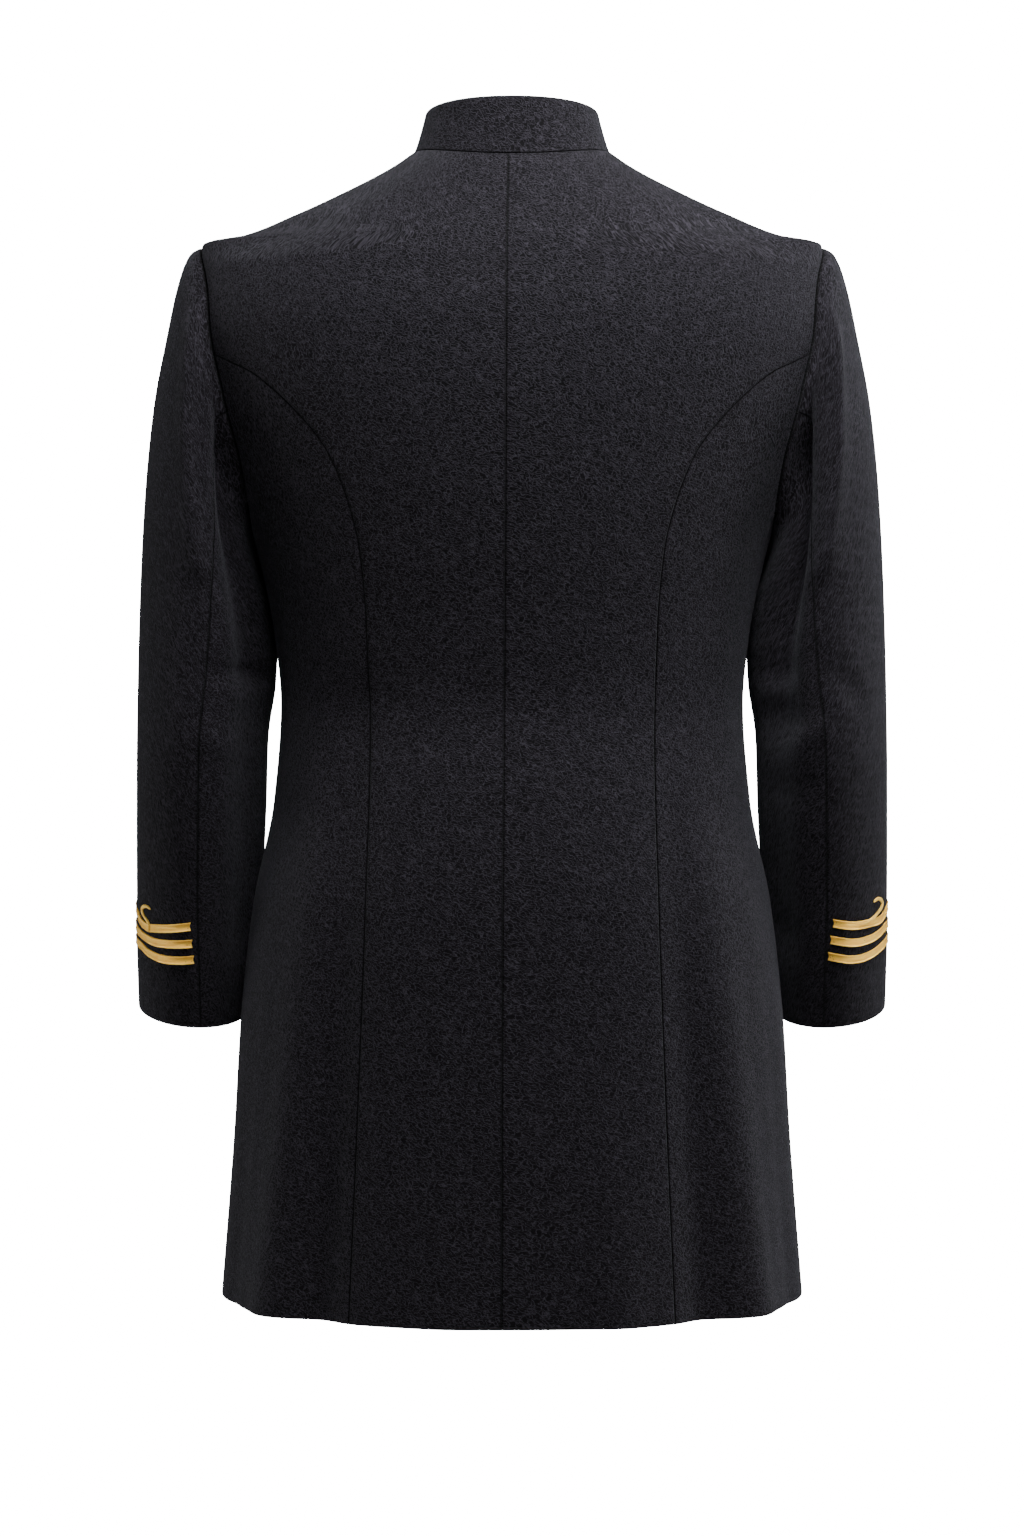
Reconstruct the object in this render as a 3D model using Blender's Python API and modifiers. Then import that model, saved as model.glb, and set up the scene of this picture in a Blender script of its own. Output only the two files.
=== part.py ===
"""Wool coat: a stand-collar overcoat of heavy wool, filled out as if worn by nobody.

Metres, +Z up. The origin is at the nape, in the middle of the neck opening. The back faces +Y, and
+X is the wearer's left. Every panel of cloth is a closed wall between an outer face and an inner one.
A body panel lies on one shared form, worked out from level sections, and a sleeve panel on rings from
the armhole to the cuff. Panels end half a seam gap from the line that they would be sewn along.
"""

import math

import bmesh
import bpy
import numpy as np

CLOTH = 0.0024
COLLAR_CLOTH = 0.0028
SEAM_GAP = 0.0003
ARMHOLE_GAP = 0.0007
SECTION_SQUARENESS = 2.15
SIDE_LINE_ENDS = 0.20
ROUNDING_WHOLE = 0.65

NECK_LEVEL = 0.013
HEM_LEVEL = -0.854
NECK_DROP_BACK = 0.013
NECK_DROP_FRONT = 0.075
NECK_DROP_START = -0.20
NECK_DROP_CURVE = 1.5

SHOULDER_TIP_LEVEL = -0.0575
UNDERARM_LEVEL = -0.280
ARMHOLE_TO_BACK = 0.055
ARMHOLE_TO_FRONT = 0.070
HINDARM_AT_ARMHOLE = math.radians(101)
FOREARM_SEAM = math.radians(248)
STEPS_TIP_TO_HINDARM = 9
STEPS_HINDARM_TO_FOREARM = 12
STEPS_FOREARM_TO_TIP = 10
BACK_SEAM_KNOT = 7
FRONT_SEAM_KNOT = 19

ROWS_BELOW_ARMHOLE = 17
BACK_COLUMNS = 8
FRONT_COLUMNS = 7
SIDE_BEND_STARTS = -0.45
SHOULDER_LEVELS = (-0.0525, -0.0365, -0.0185, 0.001, NECK_LEVEL)

FRONT_OVERLAP = 0.025
OVERLAP_LIFT_WHOLE = 0.028
OVERLAP_LIFT_STARTS = 0.075
OVERLAP_CLEARANCE = 0.0005

SLEEVE_CLEAR_OF_BODY = 0.0014
SLEEVE_RADIUS = 0.058
EASE_RINGS = 3
SLEEVE_RING_STEPS = (0, 0.5, 1, 1.5, 2, 2.5, 3, 4, 5, 6, 7, 8, 9, 10, 11, 12, 13)

COLLAR_TOP_HALF_WIDTH = 0.0660
COLLAR_TOP_BACK = 0.064
COLLAR_TOP_FRONT = 0.072
COLLAR_TOP_LEVEL = 0.044
COLLAR_TOP_FRONT_DROP = 0.066
COLLAR_SEAM_RISE = 0.0005
COLLAR_HEIGHTS = (0.0, 0.35, 0.7, 1.0)

BAND_WIDTH = 0.0065
BAND_PITCH = 0.0128
BAND_THICKNESS = 0.0009
LOWEST_BAND_ABOVE_CUFF = 0.0500
BAND_END_SHORT_OF_SEAM = 0.0045
BAND_SHORTEST_STEP = 0.001
CURL_WIDTH = 0.0030

BUTTON_RADIUS = 0.0115
BUTTON_THICKNESS = 0.0042
BUTTON_SEAT = 0.0006
BUTTON_SIDES = 16
BUTTON_LEVELS = (-0.066, -0.157, -0.248, -0.339, -0.430, -0.521)

WOOL = {"colour": (0.018, 0.0175, 0.021, 1.0), "roughness": 0.95, "metallic": 0.0}
GOLD_BRAID = {"colour": (0.62, 0.36, 0.10, 1.0), "roughness": 0.5, "metallic": 0.4}
HORN = {"colour": (0.012, 0.011, 0.011, 1.0), "roughness": 0.35, "metallic": 0.0}


def table(columns, rows):
    """A short table as one array for each named column."""
    return dict(zip(columns.split(), np.array(rows, float).T))


# Level sections of the body, from the hem up: the level of the side line, how far the cloth reaches to
# the side, how wide the section is away from the side line, where it rounds over the shoulder blade and
# the chest, and how far the cloth reaches to the back and to the front.
BODY = table("level side round back front", (
    (HEM_LEVEL, 0.2212, 0.2212, 0.155, 0.155),
    (-0.732, 0.2118, 0.2118, 0.148, 0.150),
    (-0.644, 0.2050, 0.2050, 0.141, 0.145),
    (-0.5575, 0.1950, 0.1950, 0.131, 0.137),
    (-0.479, 0.1806, 0.1806, 0.117, 0.126),
    (-0.406, 0.1764, 0.1764, 0.105, 0.118),
    (-0.359, 0.1805, 0.1805, 0.110, 0.121),
    (-0.292, 0.1940, 0.1940, 0.119, 0.129),
    (-0.233, 0.2130, 0.2130, 0.125, 0.134),
    (-0.175, 0.2350, 0.2325, 0.1275, 0.132),
    (-0.129, 0.2430, 0.2350, 0.125, 0.124),
    (-0.079, 0.2400, 0.2150, 0.113, 0.107),
    (SHOULDER_TIP_LEVEL, 0.2364, 0.1920, 0.1050, 0.0985),
    (-0.0525, 0.2090, 0.1850, 0.1025, 0.0965),
    (-0.0365, 0.1690, 0.1580, 0.0945, 0.0910),
    (-0.0185, 0.1300, 0.1255, 0.0860, 0.0865),
    (0.0010, 0.0930, 0.0930, 0.0770, 0.0820),
    (NECK_LEVEL, 0.0757, 0.0757, 0.070, 0.078),
))

# Centre-back seam, from the hem up to the collar: how far it stands to the wearer's left of the middle.
CENTRE_SEAM = table("level across", (
    (HEM_LEVEL, 0.0074),
    (-0.640, 0.0070),
    (-0.300, 0.0050),
    (-0.080, 0.0038),
    (NECK_LEVEL, 0.0026),
))

# Back princess seam, from the hem up to the armhole: its distance from the centre at each level.
PRINCESS = table("level across", (
    (HEM_LEVEL, 0.1177),
    (-0.690, 0.1111),
    (-0.550, 0.1065),
    (-0.440, 0.1045),
    (-0.350, 0.1064),
    (-0.2955, 0.1111),
    (-0.249, 0.1225),
    (-0.2239, 0.1336),
    (-0.202, 0.1486),
    (-0.1777, 0.1700),
    (-0.160, 0.1960),
))

# Sleeve rings, from the armhole to the cuff: the outermost and innermost points, how far the ring
# reaches to the back and to the front, its lean (how much lower the back is for each metre of depth),
# and where the hindarm seam lies on it, in degrees from the outermost point by way of the back.
SLEEVE = table("outer_x outer_z inner_x inner_z back front lean hindarm", (
    (0.2367, -0.0575, 0.1983, -0.2800, 0.0550, -0.0700, 0.00, 101),
    (0.2445, -0.0606, 0.1960, -0.2850, 0.0575, -0.0730, 0.00, 103),
    (0.2503, -0.0692, 0.1945, -0.2915, 0.0595, -0.0755, 0.00, 105),
    (0.2562, -0.0870, 0.1930, -0.2990, 0.0610, -0.0770, 0.00, 108),
    (0.2645, -0.1260, 0.1910, -0.3080, 0.0620, -0.0780, 0.00, 112),
    (0.2742, -0.1777, 0.1890, -0.3190, 0.0625, -0.0790, 0.00, 115),
    (0.2806, -0.2400, 0.1860, -0.3340, 0.0625, -0.0790, 0.00, 116),
    (0.2842, -0.3050, 0.1836, -0.3560, 0.0615, -0.0780, 0.00, 115),
    (0.2863, -0.3700, 0.1845, -0.3900, 0.0600, -0.0770, 0.02, 113),
    (0.2875, -0.4300, 0.1872, -0.4300, 0.0580, -0.0770, 0.05, 110),
    (0.2888, -0.4900, 0.1895, -0.4850, 0.0480, -0.0810, 0.11, 106),
    (0.2902, -0.5480, 0.1935, -0.5430, 0.0340, -0.0880, 0.15, 103),
    (0.2912, -0.5980, 0.2030, -0.5970, 0.0220, -0.0940, 0.17, 101),
    (0.2912, -0.6380, 0.2108, -0.6465, 0.0100, -0.1000, 0.19, 100),
))

# Soft folds of the body: which side has each (1 wearer's left, -1 right, 0 both), its upper and lower
# ends as a turn from the centre back in degrees and a level, its half width, and its height at each end.
BODY_FOLDS = table("side turn_0 level_0 turn_1 level_1 width height_0 height_1", (
    (0, 42, -0.480, 50, HEM_LEVEL, 0.026, 0.0000, 0.0075),
    (0, 36, -0.560, 38, HEM_LEVEL, 0.018, 0.0000, -0.0040),
    (-1, 18, -0.700, 19, HEM_LEVEL, 0.022, 0.0000, 0.0045),
    (1, 12, -0.730, 11, HEM_LEVEL, 0.024, 0.0000, 0.0025),
    (0, 68, -0.540, 70, HEM_LEVEL, 0.020, 0.0000, -0.0030),
    (1, 132, -0.500, 138, HEM_LEVEL, 0.027, 0.0000, 0.0065),
    (-1, 136, -0.530, 144, HEM_LEVEL, 0.025, 0.0000, 0.0060),
))

# Soft folds of the sleeves, in the same way, with a ring number in place of a level and an angle
# round the sleeve, from its outermost line by way of the back, in place of the turn.
SLEEVE_FOLDS = table("side angle_0 ring_0 angle_1 ring_1 width height_0 height_1", (
    (0, 76, 3.2, 88, 6.6, 0.013, 0.0035, 0.0030),
    (0, 112, 2.6, 122, 6.2, 0.014, -0.0045, -0.0020),
    (1, 150, 7.0, 104, 8.2, 0.013, -0.0030, 0.0000),
    (-1, 150, 7.3, 100, 8.7, 0.012, -0.0035, 0.0000),
    (0, 140, 8.3, 96, 9.4, 0.012, 0.0025, 0.0000),
    (0, 250, 8.0, 300, 8.8, 0.014, -0.0035, 0.0000),
    (0, 245, 9.2, 290, 9.6, 0.013, 0.0025, 0.0000),
))

# The curl above the top band, from its foot to its tip: distance from the band's rear end, height
# above the band, and how wide the strand is there, as a share of its full width.
CURL = table("along up share", (
    (0.0320, 0.0000, 0.60),
    (0.0365, 0.0026, 0.85),
    (0.0410, 0.0058, 1.00),
    (0.0438, 0.0098, 1.00),
    (0.0434, 0.0136, 0.90),
    (0.0402, 0.0158, 0.80),
    (0.0366, 0.0150, 0.65),
    (0.0346, 0.0122, 0.45),
))


# Half of a button's outline, from the middle of its face round the rim to the middle of its back, as
# shares of its radius and of its thickness.
BUTTON_PROFILE = table("radius height", (
    (0.00, 0.88),
    (0.62, 0.88),
    (0.70, 1.00),
    (0.88, 1.00),
    (1.00, 0.75),
    (1.00, 0.30),
    (0.80, 0.00),
    (0.00, 0.00),
))


def through(knots, values, at):
    """A smooth curve through a table's rows that never swings past them."""
    steps = np.diff(knots)
    slopes = np.diff(values) / steps
    turns = slopes[:-1] * slopes[1:] > 0
    sums = np.where(turns, slopes[:-1] + slopes[1:], 1.0)
    inner = np.where(turns, 2 * slopes[:-1] * slopes[1:] / sums, 0.0)
    tangents = np.concatenate([slopes[:1], inner, slopes[-1:]])
    at = np.clip(at, knots[0], knots[-1])
    i = np.clip(np.searchsorted(knots, at, side="right") - 1, 0, len(steps) - 1)
    t = (at - knots[i]) / steps[i]
    start = values[i] * (1 + 2 * t) * (1 - t) ** 2 + tangents[i] * steps[i] * t * (1 - t) ** 2
    end = values[i + 1] * t**2 * (3 - 2 * t) - tangents[i + 1] * steps[i] * t**2 * (1 - t)
    return start + end


def body_size(column, level):
    return through(BODY["level"], BODY[column], level)


def signed_power(value, power):
    return np.sign(value) * np.abs(value) ** power


def smoothstep(value):
    value = np.clip(value, 0, 1)
    return value * value * (3 - 2 * value)


def fold_height(folds, side, across, along, start, end):
    """Sum of the soft folds: each is a ridge or trough along a line, fading to both sides of it."""
    height = np.zeros(np.broadcast(across, along).shape)
    for k in range(len(folds["side"])):
        if folds["side"][k] * side < 0:
            continue
        run = end[k] - start[k]
        reach = np.stack(np.broadcast_arrays(across - start[k][0], along - start[k][1]), -1)
        share = np.clip(reach @ run / (run @ run), 0, 1)
        away = np.linalg.norm(reach - share[..., None] * run, axis=-1)
        tall = folds["height_0"][k] + (folds["height_1"][k] - folds["height_0"][k]) * share
        height += tall * np.exp(-((away / folds["width"][k]) ** 2))
    return height


def plain_body(level, turn):
    """Outer face without folds, at a level of the side line and a turn from the centre back."""
    sine, cosine = np.sin(turn), np.cos(turn)
    depth = np.where(cosine > 0, body_size("back", level), body_size("front", level))
    side = body_size("side", level)
    rounded = smoothstep((np.abs(cosine) - SIDE_LINE_ENDS) / (ROUNDING_WHOLE - SIDE_LINE_ENDS))
    width = side + (body_size("round", level) - side) * rounded
    x = width * signed_power(sine, 2 / SECTION_SQUARENESS)
    y = depth * signed_power(cosine, 2 / SECTION_SQUARENESS)
    rise = np.clip((level - NECK_DROP_START) / (NECK_LEVEL - NECK_DROP_START), 0, 1)
    drop = np.where(cosine > 0, NECK_DROP_BACK, NECK_DROP_FRONT) * rise**NECK_DROP_CURVE
    return np.stack(np.broadcast_arrays(x, y, level - drop * cosine**2), -1)


def unit(vectors):
    return vectors / np.linalg.norm(vectors, axis=-1, keepdims=True)


def body_normal(level, turn):
    reach, swing = 0.006, math.radians(0.5)
    up = plain_body(np.minimum(level + reach, NECK_LEVEL), turn)
    up = up - plain_body(np.maximum(level - reach, HEM_LEVEL), turn)
    round_body = plain_body(level, turn + swing) - plain_body(level, turn - swing)
    return unit(np.cross(up, round_body))


def body_face(level, turn, side):
    """Outer face of the body with its folds, and the way out of the cloth."""
    half = body_size("side", level)
    ends = []
    for end in ("0", "1"):
        levels = BODY_FOLDS["level_" + end]
        angles = np.radians(BODY_FOLDS["turn_" + end])
        ends.append(np.stack([angles * body_size("side", levels), levels], -1))
    normal = body_normal(level, turn)
    height = fold_height(BODY_FOLDS, side, turn * half, level, ends[0], ends[1])
    return plain_body(level, turn) + height[..., None] * normal, normal


def turn_at_side(level, across):
    """The turn, on the back half, where the form lies this far from the centre plane."""
    return np.arcsin(np.clip(across / body_size("round", level), 0, 1) ** (SECTION_SQUARENESS / 2))


def armhole(angle):
    """Level and turn of the armhole seam, at an angle from the shoulder tip by way of the back."""
    middle = (SHOULDER_TIP_LEVEL + UNDERARM_LEVEL) / 2
    level = middle + (SHOULDER_TIP_LEVEL - middle) * np.cos(angle)
    sine = np.sin(angle)
    depth = np.where(sine > 0, ARMHOLE_TO_BACK, ARMHOLE_TO_FRONT) * sine
    full = np.where(sine > 0, body_size("back", level), body_size("front", level))
    return level, np.arccos(signed_power(depth / full, SECTION_SQUARENESS / 2))


def armhole_knots():
    """Angles where the panels and the sleeve share the points of the armhole."""
    return np.concatenate([
        np.linspace(0, HINDARM_AT_ARMHOLE, STEPS_TIP_TO_HINDARM + 1),
        np.linspace(HINDARM_AT_ARMHOLE, FOREARM_SEAM, STEPS_HINDARM_TO_FOREARM + 1)[1:],
        np.linspace(FOREARM_SEAM, 2 * math.pi, STEPS_FOREARM_TO_TIP + 1)[1:],
    ])


KNOTS = armhole_knots()
KNOT_LEVELS, KNOT_TURNS = armhole(KNOTS)
LOWER_LEVELS = np.linspace(HEM_LEVEL, KNOT_LEVELS[BACK_SEAM_KNOT], ROWS_BELOW_ARMHOLE + 1)


def side_levels(knot):
    """Levels of the rows that run down from one knot of the armhole, evened out above the waist."""
    top = KNOT_LEVELS[BACK_SEAM_KNOT] - SIDE_BEND_STARTS
    bent = SIDE_BEND_STARTS + (LOWER_LEVELS - SIDE_BEND_STARTS) * (
        KNOT_LEVELS[knot] - SIDE_BEND_STARTS) / top
    return np.where(LOWER_LEVELS > SIDE_BEND_STARTS, bent, LOWER_LEVELS)


def centre_turns(levels):
    """The centre-back seam at these levels, as turns to the wearer's left of the middle."""
    return turn_at_side(levels, through(CENTRE_SEAM["level"], CENTRE_SEAM["across"], levels))


def princess_turns():
    """The back princess seam at the lower levels; its last point is on the armhole."""
    seam = turn_at_side(LOWER_LEVELS, through(PRINCESS["level"], PRINCESS["across"], LOWER_LEVELS))
    seam[-1] = KNOT_TURNS[BACK_SEAM_KNOT]
    return seam


def finish_material(name, finish):
    material = bpy.data.materials.new(name)
    material.use_nodes = True
    shader = material.node_tree.nodes["Principled BSDF"]
    shader.inputs["Base Color"].default_value = finish["colour"]
    shader.inputs["Roughness"].default_value = finish["roughness"]
    shader.inputs["Metallic"].default_value = finish["metallic"]
    return material


def add_object(collection, name, points, faces, finish):
    """Links a closed mesh, with its faces turned so that they point out."""
    mesh = bpy.data.meshes.new(name)
    mesh.from_pydata([tuple(p) for p in points], [], faces)
    shape = bmesh.new()
    shape.from_mesh(mesh)
    if shape.calc_volume(signed=True) < 0:
        bmesh.ops.reverse_faces(shape, faces=shape.faces)
    shape.to_mesh(mesh)
    shape.free()
    mesh.materials.append(finish_material(name, finish))
    mesh.shade_smooth()
    mesh.set_sharp_from_angle(angle=math.radians(50))
    collection.objects.link(bpy.data.objects.new(name, mesh))


def add_wall(collection, name, outer, inner, finish):
    """A closed wall between two grids of points that match, with a rim along their four edges."""
    rows, columns = outer.shape[:2]
    index = np.arange(rows * columns).reshape(rows, columns)
    lower = index + rows * columns
    faces = []
    for i in range(rows - 1):
        for j in range(columns - 1):
            faces.append((index[i, j], index[i, j + 1], index[i + 1, j + 1], index[i + 1, j]))
            faces.append((lower[i, j], lower[i + 1, j], lower[i + 1, j + 1], lower[i, j + 1]))
    border = [*index[0, :-1], *index[:-1, -1], *index[-1, :0:-1], *index[:0:-1, 0]]
    for a, b in zip(border, border[1:] + border[:1]):
        shift = rows * columns
        faces.append((b, a, a + shift, b + shift))
    faces = [tuple(int(corner) for corner in face) for face in faces]
    points = np.concatenate([outer.reshape(-1, 3), inner.reshape(-1, 3)])
    add_object(collection, name, points, faces, finish)


def trim(outer, inner, rows, column):
    """Draws a stretch of a side edge back from its seam line by half the seam gap."""
    edge = outer[rows, column]
    beside = outer[rows, 1 if column == 0 else column - 1]
    along = unit(np.gradient(edge, axis=0))
    across = beside - edge
    across = across - np.sum(across * along, -1, keepdims=True) * along
    move = unit(across) * SEAM_GAP / 2
    outer[rows, column] += move
    inner[rows, column] += move


def mirrored(side, *grids):
    return [grid * np.array([side, 1, 1]) for grid in grids]


def back_panel(collection, side, name):
    """Half of the back: centre-back seam to princess seam, armhole and shoulder seam."""
    knots = range(BACK_SEAM_KNOT - 1, -1, -1)
    levels = np.concatenate([LOWER_LEVELS, KNOT_LEVELS[list(knots)], SHOULDER_LEVELS])
    edge = np.concatenate([
        princess_turns(), KNOT_TURNS[list(knots)], np.full(len(SHOULDER_LEVELS), math.pi / 2)])
    centre = side * centre_turns(levels)[:, None]
    share = np.linspace(0, 1, BACK_COLUMNS + 1)
    turn = centre + (edge[:, None] - centre) * share
    outer, normal = body_face(np.broadcast_to(levels[:, None], turn.shape), turn, side)
    inner = outer - CLOTH * normal
    below, shoulder = slice(0, len(LOWER_LEVELS)), slice(-len(SHOULDER_LEVELS) - 1, None)
    trim(outer, inner, slice(None), 0)
    trim(outer, inner, below, BACK_COLUMNS)
    trim(outer, inner, shoulder, BACK_COLUMNS)
    add_wall(collection, name, *mirrored(side, outer, inner), WOOL)


def with_middles(columns):
    """Adds a column half way between each column and the next."""
    wider = np.zeros((columns.shape[0], 2 * columns.shape[1] - 1))
    wider[:, ::2] = columns
    wider[:, 1::2] = (columns[:, :-1] + columns[:, 1:]) / 2
    return wider


def side_panel(collection, side, name):
    """Side body: princess seam to side-front seam, with the low part of the armhole as its top.

    Between the armhole's knots the top edge runs straight, as the sleeve's edge does.
    """
    knots = range(BACK_SEAM_KNOT, FRONT_SEAM_KNOT + 1)
    level = with_middles(np.stack([side_levels(k) for k in knots], 1))
    top = with_middles(KNOT_TURNS[None, list(knots)])
    share = np.linspace(0, 1, level.shape[1])
    seam = princess_turns()[:, None]
    front = KNOT_TURNS[FRONT_SEAM_KNOT]
    turn = seam + (front - seam) * share
    rise = np.clip((LOWER_LEVELS - SIDE_BEND_STARTS) / (LOWER_LEVELS[-1] - SIDE_BEND_STARTS), 0, 1)
    turn = turn + (rise**2)[:, None] * (top - turn[-1])
    outer, normal = body_face(level, turn, side)
    outer[-1, 1::2] = (outer[-1, :-1:2] + outer[-1, 2::2]) / 2
    inner = outer - CLOTH * normal
    trim(outer, inner, slice(None), 0)
    trim(outer, inner, slice(None), outer.shape[1] - 1)
    add_wall(collection, name, *mirrored(side, outer, inner), WOOL)


def front_turns(levels, edge):
    """Turns of a front's columns: evenly from its edge to the overlap, then across the overlap."""
    inside = math.pi - turn_at_side(levels, FRONT_OVERLAP)[:, None]
    middle = math.pi - turn_at_side(levels, FRONT_OVERLAP / 2)[:, None]
    share = np.linspace(0, 1, FRONT_COLUMNS + 1)
    even = edge[:, None] + (inside - edge[:, None]) * share
    centre = np.full_like(middle, math.pi)
    return np.concatenate([even, middle, centre, 2 * math.pi - middle, 2 * math.pi - inside], 1)


def front_panel(collection, side, name):
    """Front: side-front seam, armhole and shoulder seam to a straight edge past the centre.

    The left front lies on the right one, so it stands out by one cloth where they overlap.
    """
    knots = range(FRONT_SEAM_KNOT + 1, len(KNOTS))
    lower = side_levels(FRONT_SEAM_KNOT)
    levels = np.concatenate([lower, KNOT_LEVELS[list(knots)], SHOULDER_LEVELS])
    edge = np.concatenate([
        np.full(len(lower), KNOT_TURNS[FRONT_SEAM_KNOT]),
        KNOT_TURNS[list(knots)],
        np.full(len(SHOULDER_LEVELS), math.pi / 2),
    ])
    level, turn = np.broadcast_arrays(levels[:, None], front_turns(levels, edge))
    outer, normal = body_face(level, turn, side)
    if side > 0:
        ramp = (OVERLAP_LIFT_STARTS - outer[..., 0]) / (OVERLAP_LIFT_STARTS - OVERLAP_LIFT_WHOLE)
        lift = (CLOTH + OVERLAP_CLEARANCE) * smoothstep(ramp)
        outer = outer + lift[..., None] * normal
    inner = outer - CLOTH * normal
    trim(outer, inner, slice(0, len(lower)), 0)
    trim(outer, inner, slice(-len(SHOULDER_LEVELS) - 1, None), 0)
    add_wall(collection, name, *mirrored(side, outer, inner), WOOL)


def ring_value(column, ring):
    return through(np.arange(len(SLEEVE[column]), dtype=float), SLEEVE[column], ring)


def sleeve_ring(ring, angle):
    """A point on a sleeve ring, flat apart from its lean, at an angle from its outermost point."""
    inner_z = ring_value("inner_z", ring)
    inner_x = np.maximum(ring_value("inner_x", ring),
                         body_size("side", inner_z) + SLEEVE_CLEAR_OF_BODY * (ring > 0.5))
    outer_x, outer_z = ring_value("outer_x", ring), ring_value("outer_z", ring)
    back, front = ring_value("back", ring), ring_value("front", ring)
    depth = (back - front) / 2 * np.sin(angle)
    x = (outer_x + inner_x) / 2 + (outer_x - inner_x) / 2 * np.cos(angle)
    z = (outer_z + inner_z) / 2 + (outer_z - inner_z) / 2 * np.cos(angle)
    z = z - ring_value("lean", ring) * depth
    return np.stack(np.broadcast_arrays(x, (back + front) / 2 + depth, z), -1)


def plain_sleeve(ring, angle):
    """Outer face of the sleeve without folds. Its first ring is the armhole, a seam gap further out."""
    level, turn = armhole(angle)
    start = plain_body(level, turn) + np.array([ARMHOLE_GAP, 0, 0])
    ease = np.clip(1 - ring / EASE_RINGS, 0, 1)[..., None] ** 2
    return sleeve_ring(ring, angle) + ease * (start - sleeve_ring(np.zeros_like(ring), angle))


def sleeve_face(ring, angle, side):
    """Outer face of the sleeve with its folds, and the way out of the cloth."""
    last, reach, swing = len(SLEEVE["lean"]) - 1.0, 0.12, math.radians(1)
    down = plain_sleeve(np.minimum(ring + reach, last), angle)
    down = down - plain_sleeve(np.maximum(ring - reach, 0.0), angle)
    round_sleeve = plain_sleeve(ring, angle + swing) - plain_sleeve(ring, angle - swing)
    normal = unit(np.cross(down, round_sleeve))
    ends = []
    for end in ("0", "1"):
        rings = SLEEVE_FOLDS["ring_" + end]
        angles = np.radians(SLEEVE_FOLDS["angle_" + end])
        ends.append(np.stack([SLEEVE_RADIUS * angles, ring_drop(rings)], -1))
    across = SLEEVE_RADIUS * np.mod(angle, 2 * math.pi)
    height = fold_height(SLEEVE_FOLDS, side, across, ring_drop(ring), ends[0], ends[1])
    return plain_sleeve(ring, angle) + height[..., None] * normal, normal


def ring_drop(ring):
    """Mean level of a ring."""
    return (ring_value("outer_z", ring) + ring_value("inner_z", ring)) / 2


def sleeve_panel(collection, side, name, first, last):
    """One of the two sleeve pieces, between two knots of the armhole; a first knot below 0 counts
    back from the shoulder tip. It gives back the outer face."""
    rings = np.array(SLEEVE_RING_STEPS, float)
    hindarm = np.radians(ring_value("hindarm", rings))[:, None]
    if first < 0:
        knots = np.concatenate([KNOTS[first - 1:-1] - 2 * math.pi, KNOTS[:last + 1]])
        forearm = FOREARM_SEAM - 2 * math.pi
        front, back = forearm * knots / knots[0], hindarm * knots / knots[-1]
        angle = np.where(knots < 0, front, back)
    else:
        share = (KNOTS[first:last + 1] - KNOTS[first]) / (KNOTS[last] - KNOTS[first])
        angle = hindarm + (FOREARM_SEAM - hindarm) * share
    ring, angle = np.broadcast_arrays(rings[:, None], angle)
    outer, normal = sleeve_face(ring, angle, side)
    inner = outer - CLOTH * normal
    trim(outer, inner, slice(None), 0)
    trim(outer, inner, slice(None), outer.shape[1] - 1)
    outer, inner, normal = mirrored(side, outer, inner, normal)
    add_wall(collection, name, outer, inner, WOOL)
    return outer, normal


def line_across(face, above_cuff):
    """The line at a height above the cuff, from the hindarm seam on, on a sleeve piece's facets: its
    points, the ways out of the cloth and the distances along it."""
    points, normals = (grid[::-1, ::-1] for grid in face)
    heights = np.cumsum(np.linalg.norm(np.diff(points, axis=0, prepend=points[:1]), axis=-1), 0)
    line, ways = (
        np.array([[np.interp(above_cuff, heights[:, j], grid[:, j, k]) for k in range(3)]
                  for j in range(grid.shape[1])]) for grid in (points, normals))
    return line, ways, np.cumsum(np.linalg.norm(np.diff(line, axis=0, prepend=line[:1]), axis=-1))


def on_line(line, ways, distance, reach):
    point, way = (np.array([np.interp(reach, distance, row[:, k]) for k in range(3)])
                  for row in (line, ways))
    return point, unit(way)


def add_braid(collection, name, rows):
    """A flat braid between two rows of (point, way out), a seam gap off the cloth."""
    points = np.array([[point for point, _ in row] for row in rows])
    ways = np.array([[way for _, way in row] for row in rows])
    add_wall(collection, name, points + (SEAM_GAP + BAND_THICKNESS) * ways,
             points + SEAM_GAP * ways, GOLD_BRAID)


def band(collection, name, face, above_cuff):
    """A flat braid across the top sleeve, from just short of one seam to just short of the other."""
    rows = []
    for height in (above_cuff, above_cuff + BAND_WIDTH):
        line, ways, distance = line_across(face, height)
        start, end = BAND_END_SHORT_OF_SEAM, distance[-1] - BAND_END_SHORT_OF_SEAM
        inside = distance[(distance > start + BAND_SHORTEST_STEP)
                          & (distance < end - BAND_SHORTEST_STEP)]
        rows.append([on_line(line, ways, distance, stop) for stop in (start, *inside, end)])
    add_braid(collection, name, rows)


def curl(collection, name, face, above_cuff):
    """A narrow strand that rises from the top band and hooks back towards the hindarm seam."""
    path = np.stack([CURL["along"] + BAND_END_SHORT_OF_SEAM, CURL["up"] + above_cuff], -1)
    along = unit(np.gradient(path, axis=0))
    across = np.stack([-along[:, 1], along[:, 0]], -1) * (CURL_WIDTH * CURL["share"] / 2)[:, None]
    rows = []
    for edge in (path - across, path + across):
        rows.append([on_line(*line_across(face, max(up, above_cuff)), reach) for reach, up in edge])
    add_braid(collection, name, rows)


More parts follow.
